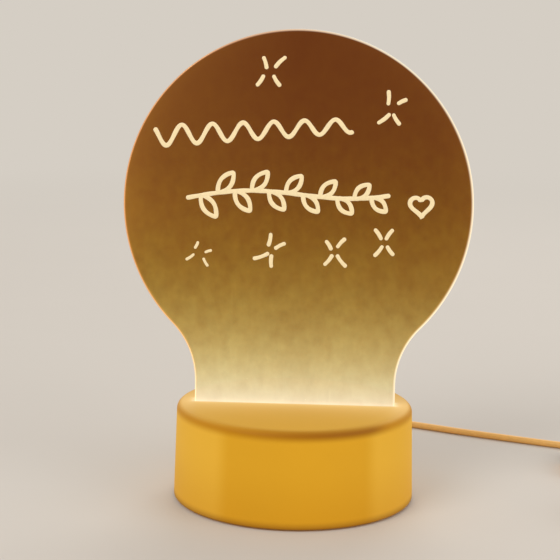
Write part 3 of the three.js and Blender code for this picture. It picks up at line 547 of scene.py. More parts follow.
class Graph:
    """The node tree of a material or of the world."""

    def __init__(self, owner: Owner) -> None:
        """Empties the owner's node tree."""
        owner.use_nodes = True
        self.owner = owner
        self.tree = owner.node_tree
        self.tree.nodes.clear()

    @classmethod
    def named(cls, name: str) -> "Graph":
        """The graph of a new material."""
        return cls(bpy.data.materials.new(name))

    def node(
        self, kind: str, settings: Optional[dict] = None, inputs: Optional[dict] = None
    ) -> bpy.types.Node:
        """Adds a node.

        Args:
            kind: the node's type.
            settings: its own settings, which are set first.
            inputs: what its sockets get, by name or number: a value, a signal or a socket.

        Returns:
            The node.
        """
        made = self.tree.nodes.new(kind)
        for key, value in (settings or {}).items():
            setattr(made, key, value)
        for key, value in (inputs or {}).items():
            self.feed(made.inputs[key], value)
        return made

    def feed(self, socket: bpy.types.NodeSocket, value: object) -> None:
        """Links a signal or socket to an input, or sets the input to a value."""
        if isinstance(value, Signal):
            value = value.socket
        if isinstance(value, bpy.types.NodeSocket):
            self.tree.links.new(value, socket)
        elif isinstance(value, tuple) and socket.type == "RGBA":
            socket.default_value = (*value, 1.0)
        else:
            socket.default_value = value

    def math(self, operation: str, *values: Amount) -> Signal:
        """One Math node on one or two amounts."""
        made = self.node("ShaderNodeMath", {"operation": operation}, dict(enumerate(values)))
        return Signal(self, made.outputs[0])

    def place(self) -> tuple[Signal, Signal, Signal]:
        """The X, Y and Z of a point on the piece, in metres."""
        parts = self.node("ShaderNodeSeparateXYZ", inputs={"Vector": self.coordinates()})
        return tuple(Signal(self, parts.outputs[axis]) for axis in "XYZ")

    def mark(self) -> Signal:
        """The number that the piece's points carry as their mark."""
        made = self.node("ShaderNodeAttribute", {"attribute_name": "mark"})
        return Signal(self, made.outputs["Fac"])

    def coordinates(self) -> bpy.types.NodeSocket:
        """The place of a point on the piece, as a vector."""
        return self.node("ShaderNodeTexCoord").outputs["Object"]

    def stretched(self, factors: Point) -> bpy.types.NodeSocket:
        """The place of a point with each axis multiplied by a factor."""
        inputs = {0: self.coordinates(), 1: factors}
        return self.node("ShaderNodeVectorMath", {"operation": "MULTIPLY"}, inputs).outputs["Vector"]

    def noise(self, scale: float, detail: float = 2.0, factors: Point = (1.0, 1.0, 1.0)) -> Signal:
        """Soft noise from 0 to 1, with a number of blotches per metre and an optional stretch."""
        inputs = {"Vector": self.stretched(factors), "Scale": scale, "Detail": detail}
        return Signal(self, self.node("ShaderNodeTexNoise", inputs=inputs).outputs[0])

    def blend(self, factor: Amount, first: object, second: object) -> bpy.types.NodeSocket:
        """A colour between two colours."""
        inputs = {0: factor, 6: first, 7: second}
        return self.node("ShaderNodeMix", {"data_type": "RGBA"}, inputs).outputs[2]

    def scaled(self, colour: object, factor: Amount) -> bpy.types.NodeSocket:
        """A colour times a number."""
        inputs = {0: colour, "Scale": factor}
        return self.node("ShaderNodeVectorMath", {"operation": "SCALE"}, inputs).outputs["Vector"]

    def colour(self, red: Amount, green: Amount, blue: Amount) -> bpy.types.NodeSocket:
        """A colour of three channels."""
        return self.node("ShaderNodeCombineColor", inputs={0: red, 1: green, 2: blue}).outputs[0]

    def bump(self, height: Signal, distance: float, strength: float = 1.0) -> bpy.types.NodeSocket:
        """A normal tilted by a height from 0 to 1 that stands for a distance."""
        inputs = {"Strength": strength, "Distance": distance, "Height": height}
        return self.node("ShaderNodeBump", inputs=inputs).outputs["Normal"]

    def mixed(self, factor: Amount, first: bpy.types.Node, second: bpy.types.Node) -> bpy.types.NodeSocket:
        """A shader between the shaders of two nodes."""
        inputs = {0: factor, 1: first.outputs[0], 2: second.outputs[0]}
        return self.node("ShaderNodeMixShader", inputs=inputs).outputs[0]

    def finish(self, **sockets: object) -> bpy.types.Material:
        """Ends the graph in a Principled shader.

        Args:
            sockets: the inputs' values, with underscores for the spaces in their names.

        Returns:
            The material.
        """
        inputs = {name.replace("_", " "): value for name, value in sockets.items()}
        shader = self.node("ShaderNodeBsdfPrincipled", inputs=inputs)
        return self.close(shader.outputs[0])

    def close(self, shader: bpy.types.NodeSocket) -> Owner:
        """Sends a shader to the surface of the material or world, and returns it."""
        kind = "World" if isinstance(self.owner, bpy.types.World) else "Material"
        self.node(f"ShaderNodeOutput{kind}", inputs={"Surface": shader})
        return self.owner


# Finishes


class Finish(Protocol):
    """What a piece is made of."""

    def material(self) -> bpy.types.Material:
        """Makes the finish's material."""


@dataclass(frozen=True)
class EdgeLitAcrylic:
    """Clear cast sheet lit from its foot: the light in it fades with height, blue first and red last."""

    foot_height: float  # of the line where the sheet leaves the base
    foot_depth: float  # of what stands in the base
    disc_height: float
    disc_radius: float
    half_thickness: float
    # painted shade: the sheet is clear, and this dark amber colour stands in for the dark surroundings seen
    # through it
    shade_tint: Colour = (0.195, 0.046, 0.003)
    foot_glow: Colour = (0.555, 0.63, 0.49)
    foot_line: float = 0.0012  # height over which the slot's edge lights the sheet up
    fade_lengths: Colour = (0.0315, 0.027, 0.0147)
    mottle_share: float = 0.25  # of the haze at the foot
    mottle_gain: float = 14.0  # what that share gains over a metre of height
    lean: float = 1.0  # share of its light that the sheet loses over a metre to the right
    stray_glow: Colour = (0.074, 0.041, 0.009)
    stray_reach: float = 0.006  # how far the rim's stray light runs in
    stray_heights: tuple[float, float] = (0.04, 0.08)  # over the foot, where it sets in and is full
    # painted light: the rim's glow, dimmer on the left, bright on the right and at the foot
    rim_left: Colour = srgb(222, 168, 128)  # as it is seen
    rim_right: Colour = srgb(255, 246, 215)
    rim_turn: float = 0.75  # share of the disc's radius at which the rim has one side's colour
    rim_foot: Colour = srgb(255, 241, 202)
    rim_fade: float = 0.025  # height over which the foot's colour leaves the rim
    rim_margins: tuple[float, float] = (0.00018, 0.00008)  # in from a face, where its light dims and ends
    mirror: Colour = (0.35, 0.35, 0.35)  # how much of the pale room the polished faces give back

    def material(self) -> bpy.types.Material:
        """The sheet's material: glass tinted dark as painted shade, with its own glow, and a polished rim
        whose brightness is painted light.

        Returns:
            The material.
        """
        graph = Graph.named("edge_lit_acrylic")
        x, y, z = graph.place()
        height = (z - self.foot_height).at_least(0.0)
        scratches = graph.noise(2600.0, 2.0, (1.0, 1.0, 0.03)).rise(0.66, 0.8)
        haze = self.haze(graph, z, height, scratches) * (1.0 - x * self.lean)
        stray = self.stray_light(x, z)
        face = graph.colour(*[
            foot * (height * (-1 / fade)).exp() * haze + stray * beside
            for foot, fade, beside in zip(self.foot_glow, self.fade_lengths, self.stray_glow)
        ])
        cut_edge = 1.0 - abs(y).rise(*[self.half_thickness - margin for margin in self.rim_margins])
        rim = cut_edge.at_least(graph.mark())
        return graph.finish(
            Base_Color=self.shade_tint,
            Roughness=0.04 + 0.05 * graph.noise(60.0, 3.0) + 0.08 * scratches,
            IOR=1.49,
            Transmission_Weight=1.0,
            Specular_Tint=self.mirror,
            Emission_Color=graph.blend(rim, face, self.rim_light(graph, x, height)),
            Emission_Strength=1.0,
        )

    def haze(self, graph: Graph, z: Signal, height: Signal, scratches: Signal) -> Signal:
        """How much of the light inside the sheet its faces let out.

        It is a sum of smudges, mottle, dust specks, wiped streaks and scratches, with a bright line at
        the foot, below which it grows towards the lower edge.

        Args:
            graph: the material's graph.
            z: the place along the sheet's height.
            height: the same above the foot, and 0 below it.
            scratches: where the sheet is scratched.

        Returns:
            The share, about 1.
        """
        smudge = graph.noise(34.0, 4.0, (1.0, 1.0, 0.6))
        speck = graph.noise(1500.0, 1.0).rise(0.73, 0.80)
        mottle = graph.noise(240.0, 3.0, (1.0, 1.0, 0.8)) - 0.5
        mottle = mottle * (self.mottle_share + self.mottle_gain * height)
        wiped = graph.noise(420.0, 2.0, (1.0, 1.0, 0.06)).rise(0.62, 0.78) * smudge.rise(0.48, 0.62)
        at_slot = 1.0 - height.rise(0.0, self.foot_line)
        below = (self.foot_height - z).rise(-self.foot_line, self.foot_depth)
        haze = 0.8 + 0.38 * smudge + mottle + 0.35 * speck + 0.2 * scratches + 0.16 * wiped
        return haze + 0.08 * at_slot + 0.15 * below

    def stray_light(self, x: Signal, z: Signal) -> Signal:
        """The light that the disc's rim throws back into the sheet, more of it on the left.

        Args:
            x: the place across the sheet.
            z: the place along its height.

        Returns:
            Its strength, from 0 to about 1.
        """
        share = x / self.disc_radius
        inset = (x * x + (z - self.disc_height) ** 2.0) ** 0.5 - self.disc_radius
        near_rim = (inset * (1 / self.stray_reach)).exp().at_most(1.0) * abs(share) * (0.5 - 0.2 * share)
        low, high = (self.foot_height + height for height in self.stray_heights)
        return (near_rim - 0.5 * share.at_most(0.0)) * z.rise(low, high)

    def rim_light(self, graph: Graph, x: Signal, height: Signal) -> bpy.types.NodeSocket:
        """The rim's colour: the foot's low down, and above it one that turns from left to right."""
        left, right, low = [self.emitted(seen) for seen in (self.rim_left, self.rim_right, self.rim_foot)]
        high = graph.blend((x / self.disc_radius).rise(-self.rim_turn, self.rim_turn), left, right)
        return graph.blend((height * (-1 / self.rim_fade)).exp(), high, low)

    def emitted(self, seen: Colour) -> Colour:
        """The glow of one face for a colour that two faces show, the further one seen through the sheet's
        dark colour of painted shade.
        """
        return tuple(light / (1 + math.sqrt(shade_tint)) for light, shade_tint in zip(seen, self.shade_tint))


@dataclass(frozen=True)
class MarkerInk:
    """Opaque pale ink that glows where it takes light out of the sheet."""

    colour: Colour = srgb(251, 228, 178)
    glow: float = 0.42
    behind: Colour = (3.2, 8.5, 60.0)  # light into the sheet, which keeps little of the blue

    def material(self) -> bpy.types.Material:
        """The ink's material: streaks across the stroke, and a glow of its own colour.

        Returns:
            The material.
        """
        graph = Graph.named("marker_ink")
        streak = graph.noise(900.0, 3.0)
        shade_share = 0.86 + 0.22 * streak
        in_front = tuple(self.glow * channel for channel in self.colour)
        light = graph.blend(graph.mark().rise(0.5, 0.9), in_front, self.behind)
        return graph.finish(
            Base_Color=graph.scaled(self.colour, 0.62 * shade_share),
            Roughness=0.5 + 0.2 * streak,
            Emission_Color=graph.scaled(light, shade_share),
            Emission_Strength=1.0,
            Normal=graph.bump(graph.noise(1500.0), 0.00006),
        )


@dataclass(frozen=True)
class GlowingHousing:
    """Thin satin moulding that the light inside shines through: bright near the row of LEDs."""

    top_radius: float
    top: float
    edge: float  # radius of the rounded top edge
    slot_half_length: float
    slot_half_width: float
    near: Colour = srgb(246, 208, 138)
    plate: Colour = srgb(218, 167, 66)
    wall: Colour = srgb(223, 163, 36)
    # painted light: the wall is brighter at its flanks
    flank: Colour = srgb(234, 178, 56)
    # painted shade: the wall darkens towards its foot
    low: Colour = srgb(200, 130, 10)
    # painted shade: the dim band under the rounded top edge, and its deepest part
    fold: Colour = srgb(190, 125, 10)
    deep_fold: Colour = srgb(146, 84, 1)
    # painted shade: a contact shadow and a dark reflection at the foot of the wall
    toe: Colour = srgb(116, 56, 12)
    leak: Colour = srgb(255, 238, 190)
    near_reach: float = 0.008  # how far the LEDs' light runs over the plate
    flank_sines: tuple[float, float] = (0.53, 0.67)  # of the angles between which wall turns to flank
    fold_rise: tuple[float, float] = (-1.3, 1.45)  # in edge radii along the section, from the plate down
    fold_fall: tuple[float, float] = (1.5, 3.0)
    deepening: tuple[float, float] = (-0.85, 0.55)  # in top radii, from left to right along the fold
    easing: tuple[float, float] = (0.58, 0.8)
    toe_height: float = 0.004
    leak_reach: float = 0.0007  # how far the light of the slot runs out of it
    leak_depths: tuple[float, float] = (0.004, 0.001)  # below the plate, where it sets in and is full
    glow: float = 0.42
    skew: float = math.radians(3.7)  # the light in the wall is turned by this from the panel's plane

    def material(self) -> bpy.types.Material:
        """The housing's material: one colour field for the moulding and its painted light and shade, shared
        by paint and glow.

        Returns:
            The material.
        """
        graph = Graph.named("glowing_housing")
        x, y, z = graph.place()
        radius = (x * x + y * y + 1e-9) ** 0.5  # never 0, because it divides
        across = x * math.cos(self.skew) + y * math.sin(self.skew)
        on_plate = z.rise(self.top - self.edge, self.top - 0.2 * self.edge)
        wall = self.wall_colour(graph, abs(across) / radius, z)
        moulded = graph.blend(on_plate, wall, self.plate_colour(graph, x, y))
        # the painted shade band under the rounded top edge
        fold = self.fold_colour(graph, across / self.top_radius)
        moulded = graph.blend(self.fold_share(x, z, radius), moulded, fold)
        cloud = 0.96 + 0.08 * graph.noise(26.0, 3.0)
        colour = graph.scaled(graph.blend(self.leak_share(x, y, z), moulded, self.leak), cloud)
        grain = graph.noise(3200.0, 2.0)
        return graph.finish(
            Base_Color=graph.scaled(colour, 1.0 - self.glow),
            Roughness=0.48 + 0.12 * grain,
            Specular_IOR_Level=0.1,
            Emission_Color=colour,
            Emission_Strength=self.glow,
            Normal=graph.bump(grain, 0.00002, 0.5),
        )

    def wall_colour(self, graph: Graph, sine: Signal, z: Signal) -> bpy.types.NodeSocket:
        """The wall's colour, with painted light and shade: brighter where the angle's sine grows, darker
        low down, and darkest at the toe, where a contact shadow and a dark reflection are painted.
        """
        wall = graph.blend(sine.rise(*self.flank_sines), self.wall, self.flank)
        wall = graph.blend(0.3 - 0.3 * z.rise(0.0, self.top * 0.7), wall, self.low)
        return graph.blend(0.7 - 0.7 * z.rise(0.0, self.toe_height), wall, self.toe)

    def plate_colour(self, graph: Graph, x: Signal, y: Signal) -> bpy.types.NodeSocket:
        """The top plate's colour: brightest over the row of LEDs, fading with the distance from it.

        Args:
            graph: the material's graph.
            x: the place along the row.
            y: the place across it.

        Returns:
            The colour.
        """
        beyond = (abs(x) - self.slot_half_length * 0.9).at_least(0.0)
        from_row = (beyond * beyond + y * y) ** 0.5
        share = x / self.slot_half_length
        fading = (from_row * (-1 / self.near_reach) / (1.0 + 0.5 * share * share)).exp()
        return graph.blend(fading, self.plate, self.near)

    def fold_share(self, x: Signal, z: Signal, radius: Signal) -> Signal:
        """How much of the painted shade band under the top edge shows: less, and narrower, at the slot's
        ends.

        Args:
            x: the place along the slot.
            z: the height.
            radius: the distance from the base's axis.

        Returns:
            The share, from 0 to 1.
        """
        path = (radius - self.top_radius + self.top - z) / self.edge + 1.0
        end = (x / self.top_radius) ** 2.0
        wide, narrow = path.rise(*self.fold_rise), path.rise(0.0, self.fold_rise[1])
        return (0.95 - 0.2 * end) * (wide + end * (narrow - wide) - path.rise(*self.fold_fall))

    def fold_colour(self, graph: Graph, across: Signal) -> bpy.types.NodeSocket:
        """The painted shade band's colour, deepest a little right of the middle; across is in top radii."""
        depth = across.rise(*self.deepening) * (1.0 - across.rise(*self.easing))
        return graph.blend(depth, self.fold, self.deep_fold)

    def leak_share(self, x: Signal, y: Signal, z: Signal) -> Signal:
        """How much of the light that leaks out of the slot shows, by the distance from its outline.

        Args:
            x: the place along the slot.
            y: the place across it.
            z: the height.

        Returns:
            The share, from 0 to 1.
        """
        slot_x = (abs(x) - self.slot_half_length).at_least(0.0)
        slot_y = (abs(y) - self.slot_half_width).at_least(0.0)
        from_slot = (slot_x * slot_x + slot_y * slot_y) ** 0.5
        low, high = (self.top - depth for depth in self.leak_depths)
        return (from_slot * (-1 / self.leak_reach)).exp() * z.rise(low, high)


@dataclass(frozen=True)
class Moulding:
    """Satin moulded plastic with a fine spark-eroded grain and slightly rubbed high spots."""

    name: str
    colour: Colour
    roughness: float = 0.42
    grain: float = 2600.0
    depth: float = 0.00003
    glow: float = 0.0

    def material(self) -> bpy.types.Material:
        """The plastic's material.

        Returns:
            The material.
        """
        graph = Graph.named(self.name)
        grain = graph.noise(self.grain, 2.0)
        cloud = 0.94 + 0.12 * graph.noise(90.0, 3.0)
        colour = graph.scaled(self.colour, cloud)
        return graph.finish(
            Base_Color=colour,
            Roughness=self.roughness - 0.06 + 0.12 * grain,
            Emission_Color=colour,
            Emission_Strength=self.glow,
            Normal=graph.bump(grain, self.depth, 0.6),
        )


@dataclass(frozen=True)
class Metal:
    """Plated or gilded sheet metal with fine draw lines along one direction."""

    name: str
    colour: Colour
    roughness: float = 0.28
    lines: Point = (1.0, 0.06, 1.0)

    def material(self) -> bpy.types.Material:
        """The metal's material.

        Returns:
            The material.
        """
        graph = Graph.named(self.name)
        line = graph.noise(5200.0, 2.0, self.lines)
        smear = graph.noise(240.0, 3.0)
        return graph.finish(
            Base_Color=graph.scaled(self.colour, 0.92 + 0.12 * smear),
            Metallic=1.0,
            Roughness=self.roughness - 0.05 + 0.06 * line + 0.08 * smear,
            Normal=graph.bump(line, 0.000004, 0.3),
        )


SCREW_STEEL = Metal("zinc_plated_steel", srgb(196, 198, 200))


@dataclass(frozen=True)
class CircuitBoard:
    """Board with a white solder mask, fine traces below it and glass fibre at its edges."""

    low: float  # heights of the board's two faces
    high: float
    mask: Colour = srgb(236, 234, 226)
    trace: Colour = srgb(214, 214, 200)
    trace_pitch: float = 0.0022
    core: Colour = srgb(196, 182, 120)

    def material(self) -> bpy.types.Material:
        """The board's material: traces as narrow ridges along the board, and a yellow core.

        Returns:
            The material.
        """
        graph = Graph.named("circuit_board")
        _, y, z = graph.place()
        middle, half = (self.low + self.high) / 2, (self.high - self.low) / 2
        edge = abs(z - middle).rise(half * 0.88, half * 0.96)
        ridge = graph.math("SINE", y * (2 * math.pi / self.trace_pitch)).rise(0.55, 0.75)
        colour = graph.blend(edge, self.core, graph.blend(ridge, self.mask, self.trace))
        return graph.finish(
            Base_Color=colour,
            Roughness=0.34 + 0.1 * graph.noise(800.0),
            Normal=graph.bump(ridge, 0.00003),
        )


@dataclass(frozen=True)
class LightEmitter:
    """Yellow phosphor under clear resin, lit."""

    phosphor: Colour = srgb(250, 214, 110)
    case: Colour = srgb(232, 230, 220)
    light: Colour = srgb(255, 226, 160)
    lens: tuple[float, float] = (0.0006, 0.0013)  # from the middle, where the phosphor fades and ends

    def material(self) -> bpy.types.Material:
        """The emitter's material: brightest in the middle of its top.

        Returns:
            The material.
        """
        graph = Graph.named("light_emitter")
        _, y, _ = graph.place()
        middle = 1.0 - abs(y).rise(*self.lens)
        return graph.finish(
            Base_Color=graph.blend(middle, self.case, self.phosphor),
            Roughness=0.25 + 0.1 * graph.noise(900.0),
            Coat_Weight=0.4 * middle,
            Emission_Color=graph.scaled(self.light, 0.35 + 0.65 * middle),
            Emission_Strength=1.0,
        )


@dataclass(frozen=True)
class Jacket:
    """Soft extruded or overmoulded jacket: faint flow marks along its length, and a soft sheen."""

    name: str
    colour: Colour
    roughness: float = 0.42
    glow: float = 0.0

    def material(self) -> bpy.types.Material:
        """The jacket's material.

        Returns:
            The material.
        """
        graph = Graph.named(self.name)
        flow = graph.noise(420.0, 3.0)
        fine = graph.noise(3600.0, 2.0)
        colour = graph.scaled(self.colour, 0.9 + 0.2 * flow)
        return graph.finish(
            Base_Color=colour,
            Roughness=self.roughness - 0.08 + 0.16 * flow,
            Emission_Color=colour,
            Emission_Strength=self.glow,
            Normal=graph.bump(fine, 0.00003, 0.4),
        )


@dataclass(frozen=True)
class Strap:
    """Woven hook-and-loop strap: a fine crossed weave with a fuzzy, dusty face."""

    colour: Colour = srgb(46, 45, 48)
    dust: Colour = srgb(92, 88, 84)
    weave: float = 0.0007  # the distance between threads

    def material(self) -> bpy.types.Material:
        """The strap's material: two sine waves crossed, under noise for the loops.

        Returns:
            The material.
        """
        graph = Graph.named("strap_weave")
        x, y, z = graph.place()
        turns = 2 * math.pi / self.weave
        crossed = graph.math("SINE", x * turns) * graph.math("SINE", (y + z) * turns)
        fuzz = graph.noise(2400.0, 3.0)
        height = 0.35 + 0.3 * crossed + 0.5 * fuzz
        return graph.finish(
            Base_Color=graph.blend((0.6 * fuzz + 0.2 * crossed).rise(0.3, 0.9), self.colour, self.dust),
            Roughness=0.82 + 0.12 * fuzz,
            Sheen_Weight=0.25,
            Normal=graph.bump(height, 0.0002, 0.8),
        )


@dataclass(frozen=True)
class StudioFloor:
    """Plain pale floor that keeps shadows near the object and fades into the backdrop further out."""

    colour: Colour
    backdrop: Colour
    fade_start: float = 0.3
    fade_end: float = 1.4

    def material(self) -> bpy.types.Material:
        """The floor's material: rough paint, mixed with the backdrop's own brightness by distance.

        Returns:
            The material.
        """
        graph = Graph.named("studio_floor")
        x, y, _ = graph.place()
        far = ((x * x + y * y) ** 0.5).rise(self.fade_start, self.fade_end)
        cloud = 0.985 + 0.03 * graph.noise(9.0, 3.0)
        paint = {
            "Base Color": graph.scaled(self.colour, cloud), "Roughness": 0.75, "Specular IOR Level": 0.2,
        }
        near = graph.node("ShaderNodeBsdfPrincipled", inputs=paint)
        beyond = graph.node("ShaderNodeEmission", inputs={"Color": self.backdrop, "Strength": 1.0})
        return graph.close(graph.mixed(far * seen_directly(graph), near, beyond))


def seen_directly(graph: Graph) -> Signal:
    """1 for rays from the camera, and for those that it sends through glass or off gloss.

    Args:
        graph: the graph of a material or of the world.

    Returns:
        The mask.
    """
    path = graph.node("ShaderNodeLightPath")
    camera, gloss, glass = [
        Signal(graph, path.outputs[f"Is {kind} Ray"]) for kind in ("Camera", "Glossy", "Transmission")
    ]
    return camera.at_least(gloss).at_least(glass)


# Putting pieces into the frame


@cache
def material_of(finish: Finish) -> bpy.types.Material:
    """The material of a finish, made once."""
    return finish.material()


def fit(
    piece: bpy.types.Object, finish: Finish, body: str, slot: str, *nodes: str
) -> bpy.types.Object:
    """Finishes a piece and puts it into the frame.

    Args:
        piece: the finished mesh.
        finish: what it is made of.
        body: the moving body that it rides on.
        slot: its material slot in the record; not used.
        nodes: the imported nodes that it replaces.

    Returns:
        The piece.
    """
    piece.data.materials.clear()
    piece.data.materials.append(material_of(finish))
    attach(piece, body)
    if nodes:
        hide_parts(*nodes)
    LOG.info("%s: %d faces, rides on %s", piece.name, len(piece.data.polygons), body)
    return piece


def dress(nodes: dict[str, bpy.types.Object], names: Iterable[str], finish: Finish) -> None:
    """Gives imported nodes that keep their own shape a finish.

    Args:
        nodes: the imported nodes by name.
        names: which of them.
        finish: what they are made of.
    """
    for name in names:
        nodes[name].material_slots[0].material = material_of(finish)
        LOG.info("%s: keeps its packed shape", name)


# The studio


@dataclass
class Studio:
    """Camera, floor, world and lamps."""

    distance: float = 0.60584  # from the base's axis to the camera, along the floor
    camera_height: float = 0.1909
    azimuth: float = 0.032
    aim: float = 0.01096  # how far the view turns past the base's axis
    pitch: float = 0.16907
    roll: float = 0.01665
    focal_pixels: float = 1555.0
    floor_radius: float = 40.0
    floor_colour: Colour = srgb(206, 199, 190)
    backdrop: Colour = srgb(213, 206, 196)
    ambient: Colour = (0.60, 0.585, 0.565)
    lamps: Sequence[tuple[str, Point, float, float]] = (  # name, place, size and power
        ("key_lamp", (-0.75, -0.95, 1.05), 0.8, 9.0),
        ("fill_lamp", (1.05, -0.55, 0.6), 0.9, 4.5),
        ("back_lamp", (0.15, 1.0, 0.95), 0.8, 5.0),
    )
    lamp_aim: Point = (0.0, 0.0, 0.06)

    def build(self) -> None:
        """Makes all of it."""
        self.camera()
        self.floor()
        self.world()
        for name, place, size, power in self.lamps:
            self.lamp(name, place, size, power)

    def camera(self) -> None:
        """Sets the camera from its place, heading, pitch and roll."""
        heading = self.azimuth + self.aim
        ahead = Vector((
            -math.sin(heading) * math.cos(self.pitch),
            math.cos(heading) * math.cos(self.pitch),
            -math.sin(self.pitch),
        ))
        level = Vector((math.cos(heading), math.sin(heading), 0.0))
        above = level.cross(ahead)
        right = level * math.cos(self.roll) + above * math.sin(self.roll)
        up = above * math.cos(self.roll) - level * math.sin(self.roll)
        data = bpy.data.cameras.new("camera")
        data.sensor_width = SENSOR_WIDTH
        data.lens = self.focal_pixels / PHOTO_PIXELS * SENSOR_WIDTH
        data.clip_start = 0.01
        made = bpy.data.objects.new("camera", data)
        turned = Matrix((right, up, -ahead)).transposed().to_4x4()
        place = Vector((
            self.distance * math.sin(self.azimuth),
            -self.distance * math.cos(self.azimuth),
            self.camera_height,
        ))
        made.matrix_world = Matrix.Translation(place) @ turned
        bpy.context.scene.collection.objects.link(made)
        bpy.context.scene.camera = made
        bpy.context.scene.view_settings.view_transform = "Standard"

    def floor(self) -> None:
        """A round floor: rings of points at growing radii round the origin."""
        radii = np.array([0.0, 0.2, 0.6, 1.5, 5.0, self.floor_radius])
        profile = np.column_stack([radii, np.zeros(len(radii))])
        made = revolve("studio_floor", profile, 64)
        made.data.flip_normals()
        made.data.materials.append(material_of(StudioFloor(self.floor_colour, self.backdrop)))

    def world(self) -> None:
        """Even light from all round, and a plain backdrop for what is seen directly."""
        world = bpy.data.worlds.new("studio")
        bpy.context.scene.world = world
        graph = Graph(world)
        light = graph.node("ShaderNodeBackground", inputs={"Color": self.ambient, "Strength": 1.0})
        seen = graph.node("ShaderNodeBackground", inputs={"Color": self.backdrop, "Strength": 1.0})
        graph.close(graph.mixed(seen_directly(graph), light, seen))

    def lamp(self, name: str, place: Point, size: float, power: float) -> None:
        """A square soft lamp that points at the object.

        Args:
            name: the lamp's name.
            place: where it hangs.
            size: its side length.
            power: its power in watts.
        """
        data = bpy.data.lights.new(name, "AREA")
        data.size = size
        data.energy = power
        made = bpy.data.objects.new(name, data)
        made.location = place
        ahead = Vector(self.lamp_aim) - Vector(place)
        made.rotation_euler = ahead.to_track_quat("-Z", "Y").to_euler()
        bpy.context.scene.collection.objects.link(made)


# The cord and what is on it


